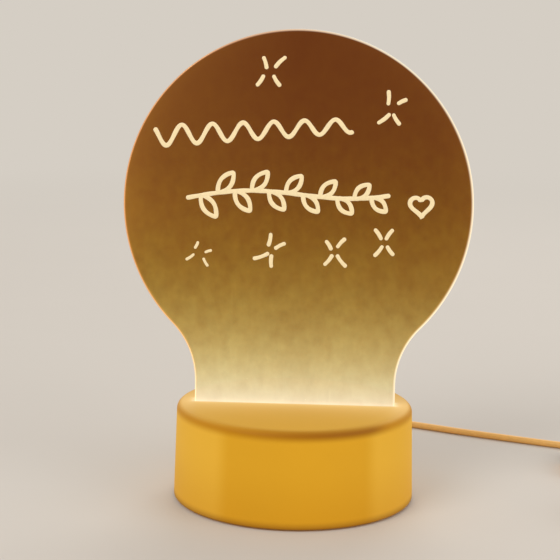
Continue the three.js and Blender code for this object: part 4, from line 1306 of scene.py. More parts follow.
@dataclass
class Cord:
    """The free cord: from the gland to the switch, and from the switch through its coil to the plug."""

    diameter: float = 0.003
    spacing: float = 0.0009  # between the rings of the tube
    run_length: float = 0.241  # gland to switch
    tail_length: float = 1.24  # switch to plug
    coil_centre: tuple[float, float] = (0.145, -0.028)
    coil_outer: float = 0.022
    coil_inner: float = 0.0129
    coil_floor: float = 0.0024  # height of the lowest layer's centre line
    layers: int = 4
    turns: float = 10.5
    layer_pitch: float = 0.00345
    climb_share: float = 0.5  # of a turn, centred on each reversal
    points_per_turn: int = 140
    tie_width: float = 0.007
    tie_thickness: float = 0.0006
    tie_end: Sequence[tuple[float, float]] = (  # out from the coil's middle, and up from the band's top
        (0.0158, 0.0), (0.0172, 0.0), (0.0188, 0.0), (0.0206, 0.0001), (0.0228, 0.0007), (0.0246, 0.0018),
    )
    jacket: Jacket = Jacket("cord_jacket", srgb(236, 182, 100), 0.4, glow=0.05)
    run_route: Sequence[Point] = (
        (0, 0.0586, 0.009), (0, 0.064, 0.0089), (0, 0.070, 0.0078), (0, 0.076, 0.0056),
        (0.0001, 0.082, 0.0034), (0.0008, 0.089, 0.0019), (0.0026, 0.0964, 0.0015),
        (0.0076, 0.105, 0.0015), (0.0154, 0.1114, 0.0015), (0.025, 0.1146, 0.0015),
        (0.035, 0.1146, 0.0015), (0.044, 0.1118, 0.0015), (0.0525, 0.1079, 0.0015),
        (0.0615, 0.1036, 0.0015), (0.0705, 0.0992, 0.0015), (0.0795, 0.095, 0.0015),
        (0.0885, 0.0911, 0.0015), (0.0975, 0.0873, 0.0015), (0.106, 0.0837, 0.0015),
        (0.114, 0.0804, 0.0015), (0.122, 0.0773, 0.0015), (0.1305, 0.0743, 0.0015),
        (0.1395, 0.0712, 0.0015), (0.148, 0.0674, 0.0015), (0.1558, 0.062, 0.0015),
        (0.1618, 0.0548, 0.0016), (0.1656, 0.0466, 0.0025), (0.167, 0.041, 0.0038),
        (0.167, 0.0363, 0.0045),
    )
    lead_route: Sequence[Point] = (
        (0.167, 0.0037, 0.0045), (0.167, -0.001, 0.0044), (0.167, -0.008, 0.0035),
        (0.167, -0.015, 0.0027), (0.167, -0.020, 0.0024), (0.167, -0.0247, 0.0024),
    )
    plug_route: Sequence[Point] = (
        (0.123, -0.0247, 0.01275), (0.123, -0.020, 0.0123), (0.123, -0.014, 0.0104),
        (0.123, -0.008, 0.0074), (0.1231, -0.002, 0.0046), (0.1232, 0.004, 0.0026),
        (0.1232, 0.0095, 0.002), (0.1231, 0.014, 0.0028), (0.123, 0.018, 0.0038),
        (0.123, 0.0217, 0.004),
    )

    def build(self) -> tuple[bpy.types.Object, bpy.types.Object, np.ndarray, np.ndarray]:
        """Makes both stretches.

        Returns:
            The stretch to the switch, the stretch to the plug, and the line that each of them follows.
        """
        run = catmull_rom(self.run_route, self.spacing)
        lead = catmull_rom(self.lead_route, self.spacing)
        to_plug = catmull_rom(self.plug_route, self.spacing)
        tail = evenly(np.concatenate([lead, self.coil_line(), to_plug]), self.spacing)
        pieces = []
        for name, line, replaced in (
            ("cord_to_switch", run, ("cord_run",)),
            ("cord_with_coil", tail, ("cord_lead", "cord_coil", "cord_to_plug")),
        ):
            made = Surface().grid(tube(line, self.diameter / 2)).build(name)
            pieces.append(fit(made, self.jacket, "base", "cord", *replaced))
        LOG.info("cord: %.4f m and %.4f m", travelled(run)[-1], travelled(tail)[-1])
        return pieces[0], pieces[1], run, tail

    def coil_line(self) -> np.ndarray:
        """The coil's centre line.

        Every layer takes the same share of the turns. The radius runs between the outer and the inner
        turn, inwards and outwards by turns, and the height climbs by a layer in a smooth step that is
        centred on each reversal.

        Returns:
            The line's points.
        """
        per_layer = self.turns / self.layers
        turn = np.linspace(0, self.turns, int(self.turns * self.points_per_turn))
        layer = np.minimum((turn / per_layer).astype(int), self.layers - 1)
        done = turn / per_layer - layer
        inward = np.where(layer % 2 == 0, done, 1 - done)
        radius = self.coil_outer + (self.coil_inner - self.coil_outer) * inward
        reversal = np.arange(1, self.layers)[:, None] * per_layer
        climb = np.clip((turn[None] - reversal) / self.climb_share + 0.5, 0, 1)
        level = (climb**2 * (3 - 2 * climb)).sum(axis=0)
        angle = -2 * math.pi * turn
        x0, y0 = self.coil_centre
        height = self.coil_floor + level * self.layer_pitch
        return np.column_stack([x0 + radius * np.cos(angle), y0 + radius * np.sin(angle), height])

    def tie(self) -> bpy.types.Object:
        """The strap round the coil's turns, on its far side, with its loose end over the top.

        The band lies round the turns that pass through it: in each direction its outline is the furthest
        of their centres, moved out that way by the cord's radius, the gap and the strap. The end is a strip
        of the same thickness along a smooth line that lies on the band and lifts off it.

        Returns:
            The strap.
        """
        half, thick = self.tie_width / 2, self.tie_thickness
        centre = (*self.coil_centre, 0.0)
        turns = self.coil_line() - centre
        bundle = turns[(abs(turns[:, 0]) < half + FIT_GAP) & (turns[:, 1] > 0), 1:]
        ahead = circle(1.0, 96)
        furthest = bundle[np.argmax(bundle @ ahead.T, axis=0)]
        band = furthest + (self.diameter / 2 + FIT_GAP + thick) * ahead
        edge = thick * 0.3
        ring = np.array([
            (edge, -half), (0, edge - half), (0, half - edge), (edge, half),
            (thick - edge, half), (thick, half - edge), (thick, edge - half), (thick - edge, -half),
        ])
        surface = Surface().grid(lofted(band, ring, Facing.RIGHT, centre), wrap_rows=True)
        top = band[:, 1].max() + 0.55 * thick
        line = catmull_rom([(out, top + up) for out, up in self.tie_end], 0.0004)
        along = np.gradient(line, axis=0)
        along /= np.linalg.norm(along, axis=1, keepdims=True)
        side = np.stack([-along[:, 1], along[:, 0]], axis=-1) * thick / 2
        strip = np.concatenate([line - side, (line + side)[::-1]])
        ends = np.array([(0.0, -half), (0.0, half)])
        return surface.grid(lofted(strip, ends, Facing.RIGHT, centre)).build("coil_strap")


@dataclass
class WritingPanel:
    """The acrylic sheet. Its heights are above the base's top."""

    base_top: float = 0.038
    thickness: float = 0.004
    foot_depth: float = 0.013
    foot_chamfer: float = 0.001
    disc_radius: float = 0.0685
    disc_height: float = 0.0791
    neck_width: float = 0.0798
    blend_radius: float = 0.033
    edge_chamfer: float = 0.0002
    rim_rings: Sequence[float] = (0.0002, 0.0004, 0.0006, 0.0009, 0.0012, 0.0016)  # in from the edge
    rim_reach: tuple[float, float] = (0.0005, 0.001)  # how wide the rim's light is, left and right

    def build(self) -> None:
        """Makes the sheet and the drawing on it."""
        finish = EdgeLitAcrylic(
            self.base_top, self.foot_depth, self.base_top + self.disc_height, self.disc_radius,
            self.thickness / 2,
        )
        fit(self.sheet(), finish, "panel", "acrylic", "acrylic_panel")
        fit(MarkerDrawing(self.thickness / 2, self.base_top).piece(), MarkerInk(), "panel", "marker")

    def outline(self) -> np.ndarray:
        """The sheet's outline, anticlockwise from its foot's left corner.

        The disc's circle and the two concave circles beside the neck touch each other: the centre of a
        concave circle is the neck's half width plus its radius from the middle, and the sum of both radii
        from the disc's centre.

        Returns:
            The outline's points.
        """
        half = self.neck_width / 2
        foot = self.base_top - self.foot_depth
        disc_z = self.base_top + self.disc_height
        across = half + self.blend_radius
        rise = math.sqrt((self.disc_radius + self.blend_radius) ** 2 - across**2)
        meet = math.atan2(rise, across)
        return np.concatenate([
            [(self.foot_chamfer - half, foot), (half - self.foot_chamfer, foot)],
            [(half, foot + self.foot_chamfer)],
            arc((across, disc_z - rise), self.blend_radius, math.pi, math.pi - meet, 48)[:-1],
            arc((0.0, disc_z), self.disc_radius, -meet, math.pi + meet, 260)[:-1],
            arc((-across, disc_z - rise), self.blend_radius, meet, 0.0, 48),
            [(-half, foot + self.foot_chamfer)],
        ])

    def sheet(self) -> bpy.types.Object:
        """The sheet: its outline carried through its thickness, with finely chamfered edges.

        Rings of points just inside the edges carry how bright the rim's light is there, as the mark: 1 at
        the edge, less the square of the distance over a reach that grows from left to right.

        Returns:
            The sheet, with its marks.
        """
        half, chamfer = self.thickness / 2, self.edge_chamfer
        rings = np.array(self.rim_rings)
        back = np.column_stack([rings, np.full(len(rings), -half)])[::-1]
        side = np.array([(0.0, chamfer - half), (0.0, half - chamfer)])
        front = np.column_stack([rings, np.full(len(rings), half)])
        profile = np.concatenate([back, side, front])
        points = lofted(self.outline(), profile, Facing.FRONT)
        left, right = self.rim_reach
        share = 0.5 + 0.5 * np.clip(points[..., 0] / self.disc_radius, -1, 1)
        marks = np.clip(1.0 - (profile[:, :1] / (left + (right - left) * share)) ** 2, 0, 1)
        marks[0], marks[-1] = 0.0, 0.0
        return Surface().grid(points, marks=marks).build("writing_panel")


@dataclass
class MarkerDrawing:
    """The marker drawing on the sheet's front face. Its heights are above the base's top."""

    face: float  # from the sheet's middle to its front face
    base_top: float
    ink_height: float = 0.00016
    ink_gap: float = 0.00002
    ink_rise: float = 0.00001  # from a stroke's start to its end, so that no two bottoms share a plane
    point_spacing: float = 0.00025
    pressure: float = 0.06  # how much the pen's pressure widens and narrows a stroke
    pressure_rate: float = 900.0  # of its wave, in radians over a metre of stroke
    pressure_start: float = 5000.0  # of the wave at a stroke's start, in radians over a metre across
    line_width: float = 0.0017
    spark_width: float = 0.0015
    spark_unit: float = 0.0005  # what the sparks' numbers count
    spark_bow: float = 0.05  # of a spark's stroke, as a share of its length
    sparks: Sequence[Sequence[tuple[float, float, float, float]]] = (
        # each stroke's two ends: across, up, across, up
        ((-29, 274, -26, 264), (-11, 274, -20, 265), (-28, 260, -34, 251), (-21, 260, -15, 251)),
        ((68, 250, 68, 238), (83, 243, 75, 239), (70, 232, 60, 224), (72, 232, 78, 223)),
        ((-78, 129, -81, 123), (-67, 122, -73, 120), (-81, 119, -88, 114), (-74, 116, -70, 109)),
        ((-21, 137, -23, 126), (-9, 129, -18, 124), (-22, 121, -35, 116), (-20, 120, -20, 109)),
        ((22, 132, 27, 124), (38, 134, 31, 126), (28, 121, 21, 112), (31, 121, 39, 111)),
        ((60, 142, 66, 133), (75, 142, 69, 133), (67, 129, 60, 120), (70, 129, 76, 121)),
    )
    small_spark: int = 2  # the one that is drawn with a finer line
    small_share: float = 0.72  # of the others' width
    heart_centre: tuple[float, float] = (0.048, 0.0804)
    heart_width: float = 0.0104
    heart_opening: tuple[float, float] = (0.16, 0.1)  # left at its cleft, in radians of the turn
    heart_tilt: float = math.radians(4)
    wave_start: tuple[float, float] = (-0.0565, 0.1055)
    wave_reach: tuple[float, float] = (0.0775, 0.0055)  # how far it runs across and up
    wave_swing: tuple[float, float] = (0.0040, 0.0014)  # its height at the left, and what it loses
    wave_count: float = 6.5
    wave_phase: float = 2.2
    stem_start: tuple[float, float] = (-0.044, 0.0815)
    stem_reach: tuple[float, float] = (0.08, 0.004)
    stem_swing: float = 0.0022
    stem_turn: float = 5.6  # of its sine, in radians
    leaves: int = 11
    leaf_angle: tuple[float, float] = (56, 14)  # from the level at the stem's start, and what it loses
    leaf_length: tuple[float, float] = (0.0104, 0.003)  # the same
    leaf_half_width: tuple[float, float] = (0.0023, 0.0004)

    def stroke(self, path: np.ndarray, width: float, lift: float) -> np.ndarray:
        """The grid of one pen stroke.

        Its section is half an ellipse, then two points on a flat bottom. Its half width is half the
        line's width, times the square root of 1 - (1 - s/w)^2 within a half width w of either end, which
        rounds the ends, and times a slow wave that stands for the pen's changing pressure.

        Args:
            path: the stroke's line, as (across, height) points.
            width: the line's width.
            lift: how far its bottom lies off the others'.

        Returns:
            The grid of points, one section for each point along the line.
        """
        line = evenly(path, self.point_spacing)
        along = travelled(line)
        half = width / 2
        from_end = np.minimum(along, along[-1] - along) / half
        rounded = np.sqrt(1 - np.clip(1 - from_end, 0, 1) ** 2)
        pressed = np.sin(along * self.pressure_rate + line[0, 0] * self.pressure_start)
        reach = half * rounded * (1 + self.pressure * pressed)
        ahead = np.gradient(line, axis=0)
        ahead /= np.linalg.norm(ahead, axis=1, keepdims=True)
        side = np.stack([-ahead[:, 1], ahead[:, 0]], axis=-1)
        angle = np.linspace(0, math.pi, 9)
        across = np.append(np.cos(angle), [-0.8, 0.8])
        above = np.append(np.sin(angle), [0, 0])
        flat = line[:, None] + across[None, :, None] * side[:, None] * reach[:, None, None]
        bottom = self.face + self.ink_gap + lift + self.ink_rise * along / along[-1]
        out = bottom[:, None] + above * self.ink_height * rounded[:, None]
        local = np.concatenate([flat + np.array([0.0, self.base_top]), out[..., None]], axis=-1)
        return local @ np.array(Facing.FRONT.value, float)

    def piece(self) -> bpy.types.Object:
        """All strokes of the drawing as one piece.

        Returns:
            The drawing.
        """
        surface = Surface()
        stem, *leaves = self.sprig()
        strokes = [(path, self.line_width, 0.0) for path in (self.heart(), self.wave(), stem)]
        strokes += [(leaf, self.line_width, self.ink_rise) for leaf in leaves]
        strokes += [(path, width, 0.0) for path, width in self.spark_lines()]
        for path, width, lift in strokes:
            points = self.stroke(path, width, lift)
            marks = np.zeros(points.shape[:2])
            marks[1:-1, -2:] = 1.0  # the flat bottom, which lies on the sheet
            surface.grid(points, marks=marks)
        return surface.build("marker_drawing")

    def spark_lines(self) -> list[tuple[np.ndarray, float]]:
        """The sparks' strokes, each bowed to one side by a sine.

        Returns:
            Each stroke's points and the width of its line.
        """
        share = np.linspace(0, 1, 12)[:, None]
        lines = []
        for i, strokes in enumerate(self.sparks):
            width = self.spark_width * (self.small_share if i == self.small_spark else 1.0)
            for number, ends in enumerate(strokes):
                start, end = np.array(ends).reshape(2, 2) * self.spark_unit
                chord = end - start
                bow = self.spark_bow * np.array([-chord[1], chord[0]]) * (-1) ** number
                lines.append((start + chord * share + bow * np.sin(share * math.pi), width))
        return lines

    def heart(self) -> np.ndarray:
        """A heart's outline from its cleft and round: the cube of a sine by a sum of four cosines.

        Returns:
            The outline's points.
        """
        first, last = self.heart_opening
        turn = np.linspace(first, 2 * math.pi - last, 90)
        half = 16
        across = half * np.sin(turn) ** 3
        up = 13 * np.cos(turn) - 5 * np.cos(2 * turn) - 2 * np.cos(3 * turn) - np.cos(4 * turn)
        scale = (self.heart_width - self.line_width) / (2 * half)
        cosine, sine = math.cos(self.heart_tilt), math.sin(self.heart_tilt)
        turned = np.column_stack([across * cosine - up * sine, across * sine + up * cosine])
        return turned * scale + np.array(self.heart_centre)

    def wave(self) -> np.ndarray:
        """A hand-drawn wave: a sine whose swing eases off towards the right, on a line that rises.

        Returns:
            The line's points.
        """
        share = np.linspace(0, 1, 260)
        (x, z), (reach, rise), (swing, lost) = self.wave_start, self.wave_reach, self.wave_swing
        wave = np.sin(share * 2 * math.pi * self.wave_count + self.wave_phase)
        return np.column_stack([x + reach * share, z + rise * share + (swing - lost * share) * wave])

    def sprig(self) -> list[np.ndarray]:
        """A leafy sprig: a stem that swings gently, and almond-shaped leaves on both sides of it.

        A leaf runs out along its own axis and back, with its half width times the sine of the share of
        its length.

        Returns:
            The stem's line, then the leaves' lines.
        """
        share = np.linspace(0, 1, 120)
        (x, z), (reach, rise) = self.stem_start, self.stem_reach
        swing = self.stem_swing * np.sin(share * self.stem_turn)
        stem = np.column_stack([x + reach * share, z + rise * share + swing])
        paths = [stem]
        steps = 26
        loop = np.concatenate([np.linspace(0, 1, steps), np.linspace(1, 0, steps)[1:]])
        belly = np.sin(loop * math.pi) ** 0.8 * np.where(np.arange(len(loop)) < steps, 1.0, -1.0)
        measures = (self.leaf_angle, self.leaf_length, self.leaf_half_width)
        for i in range(self.leaves):
            place = (i + 0.9) / (self.leaves + 1)
            x, z = np.interp(place, share, stem[:, 0]), np.interp(place, share, stem[:, 1])
            angle, length, half_width = (start - lost * place for start, lost in measures)
            turn = math.radians(angle) * (1 if i % 2 else -1)
            out, off = loop * length, belly * half_width
            paths.append(np.column_stack([
                x + out * math.cos(turn) - off * math.sin(turn),
                z + out * math.sin(turn) + off * math.cos(turn),
            ]))
        return paths


@dataclass
class Housing:
    """The round moulded base: its wall, slot, guide channel, ribs and bosses."""

    radius: float = 0.048
    height: float = 0.038
    rim_lift: float = 0.0006
    draft: float = 0.0011
    wall: float = 0.0022
    plate: float = 0.0024
    top_round: float = 0.0024
    plate_round: float = 0.0012  # where wall and plate meet inside
    rim_round: float = 0.0008
    rim_inner_round: float = 0.0002
    rim_wall: float = 0.0013
    rebate: float = 0.0033
    slot_half_length: float = 0.0402
    slot_half_width: float = 0.0023
    slot_corner: float = 0.0004
    slot_edge: float = 0.0005
    ledge: float = 0.0247
    channel_floor: float = 0.0201
    channel_wall: float = 0.002
    channel_corner: float = 0.0008
    chamfer: float = 0.0004  # of the channel's and the bosses' lower ends
    ledge_length: float = 0.004
    rib_thickness: float = 0.0015
    rib_depth: float = 0.006
    rib_place: float = 0.014
    boss_circle: float = 0.034
    boss_radius: float = 0.0035
    boss_floor: float = 0.0055
    web_floor: float = 0.0115
    cover_pilot: tuple[float, float] = (0.0015, 0.0145)  # radius and upper end
    board_pilot: tuple[float, float] = (0.0011, 0.0233)
    board_screw_x: float = 0.0392
    notch_radius: float = 0.0029
    gland_height: float = 0.009

    def build(self, nodes: dict[str, bpy.types.Object]) -> None:
        """Makes the housing, and dresses the cover, its screws and its feet.

        Args:
            nodes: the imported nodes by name.
        """
        finish = GlowingHousing(
            self.outer_radius(self.height), self.height, self.top_round, self.slot_half_length,
            self.slot_half_width,
        )
        fit(self.moulding(), finish, "base", "housing", "base_shell")
        dress(nodes, ["bottom_cover"], Moulding("cover_plastic", srgb(226, 170, 74), glow=0.16))
        dress(nodes, [f"cover_screw_{i}" for i in range(1, 5)], SCREW_STEEL)
        dress(nodes, [f"foot_{i}" for i in range(1, 5)], Moulding("foot_rubber", srgb(58, 56, 54), 0.82))

    def outer_radius(self, z: float) -> float:
        """The drafted wall's outer radius at a height."""
        return self.radius - self.draft * (z - self.rim_lift) / (self.height - self.rim_lift)

    def inner_radius(self, z: float) -> float:
        """The drafted wall's inner radius at a height."""
        return self.outer_radius(z) - self.wall

    def boss_places(self) -> list[tuple[float, float, float]]:
        """The angle, X and Y of each of the four bosses.

        Returns:
            Three numbers for each boss.
        """
        angles = (np.arange(4) + 0.5) * math.pi / 2
        radius = self.boss_circle
        return [(angle, radius * math.cos(angle), radius * math.sin(angle)) for angle in angles]

    def moulding(self) -> bpy.types.Object:
        """The turned wall and top plate, with all that is moulded on and cut out.

        Returns:
            The housing.
        """
        plate_z, rim_z = self.height - self.plate, self.rim_lift
        rebate_radius = self.radius - self.rim_wall
        profile = filleted([
            (0.0, plate_z, 0.0),
            (self.inner_radius(plate_z), plate_z, self.plate_round),
            (self.inner_radius(self.rebate), self.rebate, 0.0),
            (rebate_radius, self.rebate, 0.0),
            (rebate_radius, rim_z, self.rim_inner_round),
            (self.outer_radius(rim_z), rim_z, self.rim_round),
            (self.outer_radius(self.height), self.height, self.top_round),
            (0.0, self.height, 0.0),
        ], 10)
        body = revolve("base_housing", profile, 240)
        return carved(body, self.added(plate_z + ROOT_OVERLAP), self.removed())

    def added(self, root: float) -> list[bpy.types.Object]:
        """The guide channel, the two ribs, and the four bosses with their webs.

        Args:
            root: the height up to which they run, inside the top plate.

        Returns:
            The solids.
        """
        length = self.slot_half_length + self.channel_wall
        width = self.slot_half_width + self.channel_wall
        walls = rounded_rectangle(2 * length, 2 * width, self.channel_corner)
        parts = [loft("channel", walls, self.chamfered(self.channel_floor, root))]
        plate_z, thick = self.height - self.plate, self.rib_thickness / 2
        for x in (-self.rib_place, self.rib_place):
            reach = math.sqrt(self.inner_radius(plate_z) ** 2 - x * x) + ROOT_OVERLAP
            low, high = (x - thick, -reach, plate_z - self.rib_depth), (x + thick, reach, root)
            parts.append(prism("rib", low, high))
        reach = self.inner_radius(plate_z) + ROOT_OVERLAP
        boss = self.chamfered(self.boss_floor, root)
        for angle, x, y in self.boss_places():
            parts.append(loft("boss", circle(self.boss_radius, 48), boss, at=(x, y, 0.0)))
            low, high = (self.boss_circle, -thick, self.web_floor), (reach, thick, root)
            parts.append(prism("web", low, high, angle))
        return parts

    def chamfered(self, floor: float, root: float) -> np.ndarray:
        """The profile of a solid that stands between two heights, with its lower edge chamfered."""
        return np.array([(self.chamfer, floor), (0.0, floor + self.chamfer), (0.0, root)])

    def removed(self) -> list[bpy.types.Object]:
        """The slot with its rounded rim, the light's window, the screws' pilots and the cord's notch.

        Returns:
            The solids that are cut away.
        """
        slot = rounded_rectangle(2 * self.slot_half_length, 2 * self.slot_half_width, self.slot_corner)
        edge, top = self.slot_edge, self.height
        swing = np.linspace(0, math.pi / 2, 7)
        rim = np.column_stack([edge * (np.cos(swing) - 1), top - edge + edge * np.sin(swing)])
        profile = np.concatenate([[(0.0, self.ledge)], rim, [(-edge, top + OVERRUN)]])
        window = self.slot_half_length - self.ledge_length
        low = (-window, -self.slot_half_width, self.channel_floor - OVERRUN)
        parts = [
            loft("slot", slot, profile),
            prism("window", low, (window, self.slot_half_width, self.ledge + OVERRUN)),
        ]
        radius, end = self.board_pilot
        for x in (-self.board_screw_x, self.board_screw_x):
            parts.append(rod("pilot", radius, self.channel_floor - OVERRUN, end, x))
        radius, end = self.cover_pilot
        for _, x, y in self.boss_places():
            parts.append(rod("pilot", radius, self.boss_floor - OVERRUN, end, x, y))
        start = self.inner_radius(self.height - self.plate) - OVERRUN
        depth = np.array([(0.0, start), (0.0, self.radius + OVERRUN)])
        bore = circle(self.notch_radius, 48)
        parts.append(loft("notch", bore, depth, Facing.BACK, (0.0, 0.0, self.gland_height)))
        low = (-self.notch_radius, start, -OVERRUN)
        parts.append(prism("notch", low, (self.notch_radius, self.radius + OVERRUN, self.gland_height)))
        return parts


@dataclass(frozen=True)
class Relief:
    """The tapered, ringed sleeve that keeps a cord from bending sharply where it leaves a piece."""

    root: float = 0.003  # outer radius at its start
    tip: float = 0.0021  # and at its end
    length: float = 0.009
    rings: int = 3
    groove: float = 0.0006
    ring_round: float = 0.0002
    lip: float = 0.0019  # radius of the collar round the cord at the tip
    lip_half: float = 0.0004  # half of the collar's thickness

    def corners(self) -> list[Point]:
        """Corners of its section: (radius, distance from the root, fillet), up to the axis at its tip.

        The radius runs evenly from root to tip, and every second band lies deeper by the groove.

        Returns:
            The corners, in the order from root to tip.
        """
        bands = 2 * self.rings
        corners = []
        for i in range(bands):
            for share in (i / bands, (i + 1) / bands):
                radius = self.root + (self.tip - self.root) * share - self.groove * (i % 2)
                corners.append((radius, self.length * share, self.ring_round))
        low, high = self.length - self.lip_half, self.length + self.lip_half
        neck = corners.pop()[0]
        return [
            *corners, (neck, low, self.ring_round / 2), (self.lip, low, self.ring_round),
            (self.lip, high, self.ring_round), (0.0, high, 0.0),
        ]


@dataclass
class CordEntry:
    """The gland in the rear wall, and the cord's inner end with its two wires."""

    height: float = 0.009
    inside: float = 0.045144  # the wall's two faces, along Y
    outside: float = 0.048053
    neck: float = 0.0026
    flange: float = 0.0037
    flange_thickness: float = 0.0014
    relief: Relief = Relief()
    cord_radius: float = 0.0015
    inner_cord: tuple[float, float] = (0.043444, 0.035444)  # its two ends, along Y
    wire_radius: float = 0.00055
    wire_start: float = 0.035144
    pad: tuple[float, float, float] = (0.0035, 0.003, 0.0185)

    def build(self, jacket: Jacket) -> bpy.types.Object:
        """Makes all of it.

        Args:
            jacket: the cord's finish, which the gland shares.

        Returns:
            The gland.
        """
        gland = fit(self.gland(), jacket, "base", "cord", "strain_relief")
        start, end = self.inner_cord
        line = np.linspace((0, start, self.height), (0, end, self.height), 12)
        inner = Surface().grid(tube(line, self.cord_radius, 24)).build("inner_cord")
        fit(inner, jacket, "base", "cord", "cord_inner_end")
        for side, name, colour in (
            (-1, "wire_red", srgb(188, 38, 32)), (1, "wire_black", srgb(38, 37, 38)),
        ):
            finish = Moulding(f"{name}_insulation", colour, 0.38)
            wire = Surface().grid(tube(self.wire_line(side), self.wire_radius, 14)).build(f"supply_{name}")
            fit(wire, finish, "base", name, name)
        return gland

    def gland(self) -> bpy.types.Object:
        """A turned gland: two flanges with the wall between them, then the ringed relief.

        Returns:
            The gland.
        """
        inside, outside = self.inside, self.outside
        tail = outside + self.flange_thickness
        profile = filleted([
            (0.0, inside - self.flange_thickness, 0.0),
            (self.flange, inside - self.flange_thickness, 0.0003),
            (self.flange, inside, 0.0002),
            (self.neck, inside, 0.0),
            (self.neck, outside, 0.0),
            (self.flange, outside, 0.0002),
            (self.flange, tail, 0.0004),
            *[(radius, tail + along, fillet) for radius, along, fillet in self.relief.corners()],
        ], 6)
        return revolve("cord_gland", profile, 64, Facing.BACK, (0.0, 0.0, self.height))

    def wire_line(self, side: int) -> np.ndarray:
        """One wire's line from the cord's inner end up to its solder pad.

        Args:
            side: -1 for the left wire, 1 for the right one.

        Returns:
            The line's points.
        """
        x, y, z = self.pad
        apart = side * (self.wire_radius + FIT_GAP / 2)
        shares = np.array([
            (0, 0, 0), (0.2, 0.1, 0), (0.5, 0.5, 0.04), (0.8, 0.85, 0.25), (0.97, 1, 0.65), (1, 1, 1),
        ])
        back, out, up = shares.T
        points = np.column_stack([
            apart + (side * x - apart) * out, self.wire_start - (self.wire_start - y) * back,
            self.height + (z - self.height) * up,
        ])
        return catmull_rom(points, 0.0006)


@dataclass
class LightUnit:
    """The board under the slot with its LEDs, resistors and screws."""

    board_low: float = 0.0186
    board_high: float = 0.0198

    def build(self, nodes: dict[str, bpy.types.Object]) -> None:
        """Dresses the unit's pieces.

        Args:
            nodes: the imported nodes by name.
        """
        dress(nodes, ["led_board"], CircuitBoard(self.board_low, self.board_high))
        dress(nodes, [f"led_{i}" for i in range(1, 9)], LightEmitter())
        resistor = Moulding("resistor_body", srgb(38, 39, 43), 0.4)
        dress(nodes, [f"resistor_{i}" for i in range(1, 4)], resistor)
        dress(nodes, ["board_screw_left", "board_screw_right"], SCREW_STEEL)


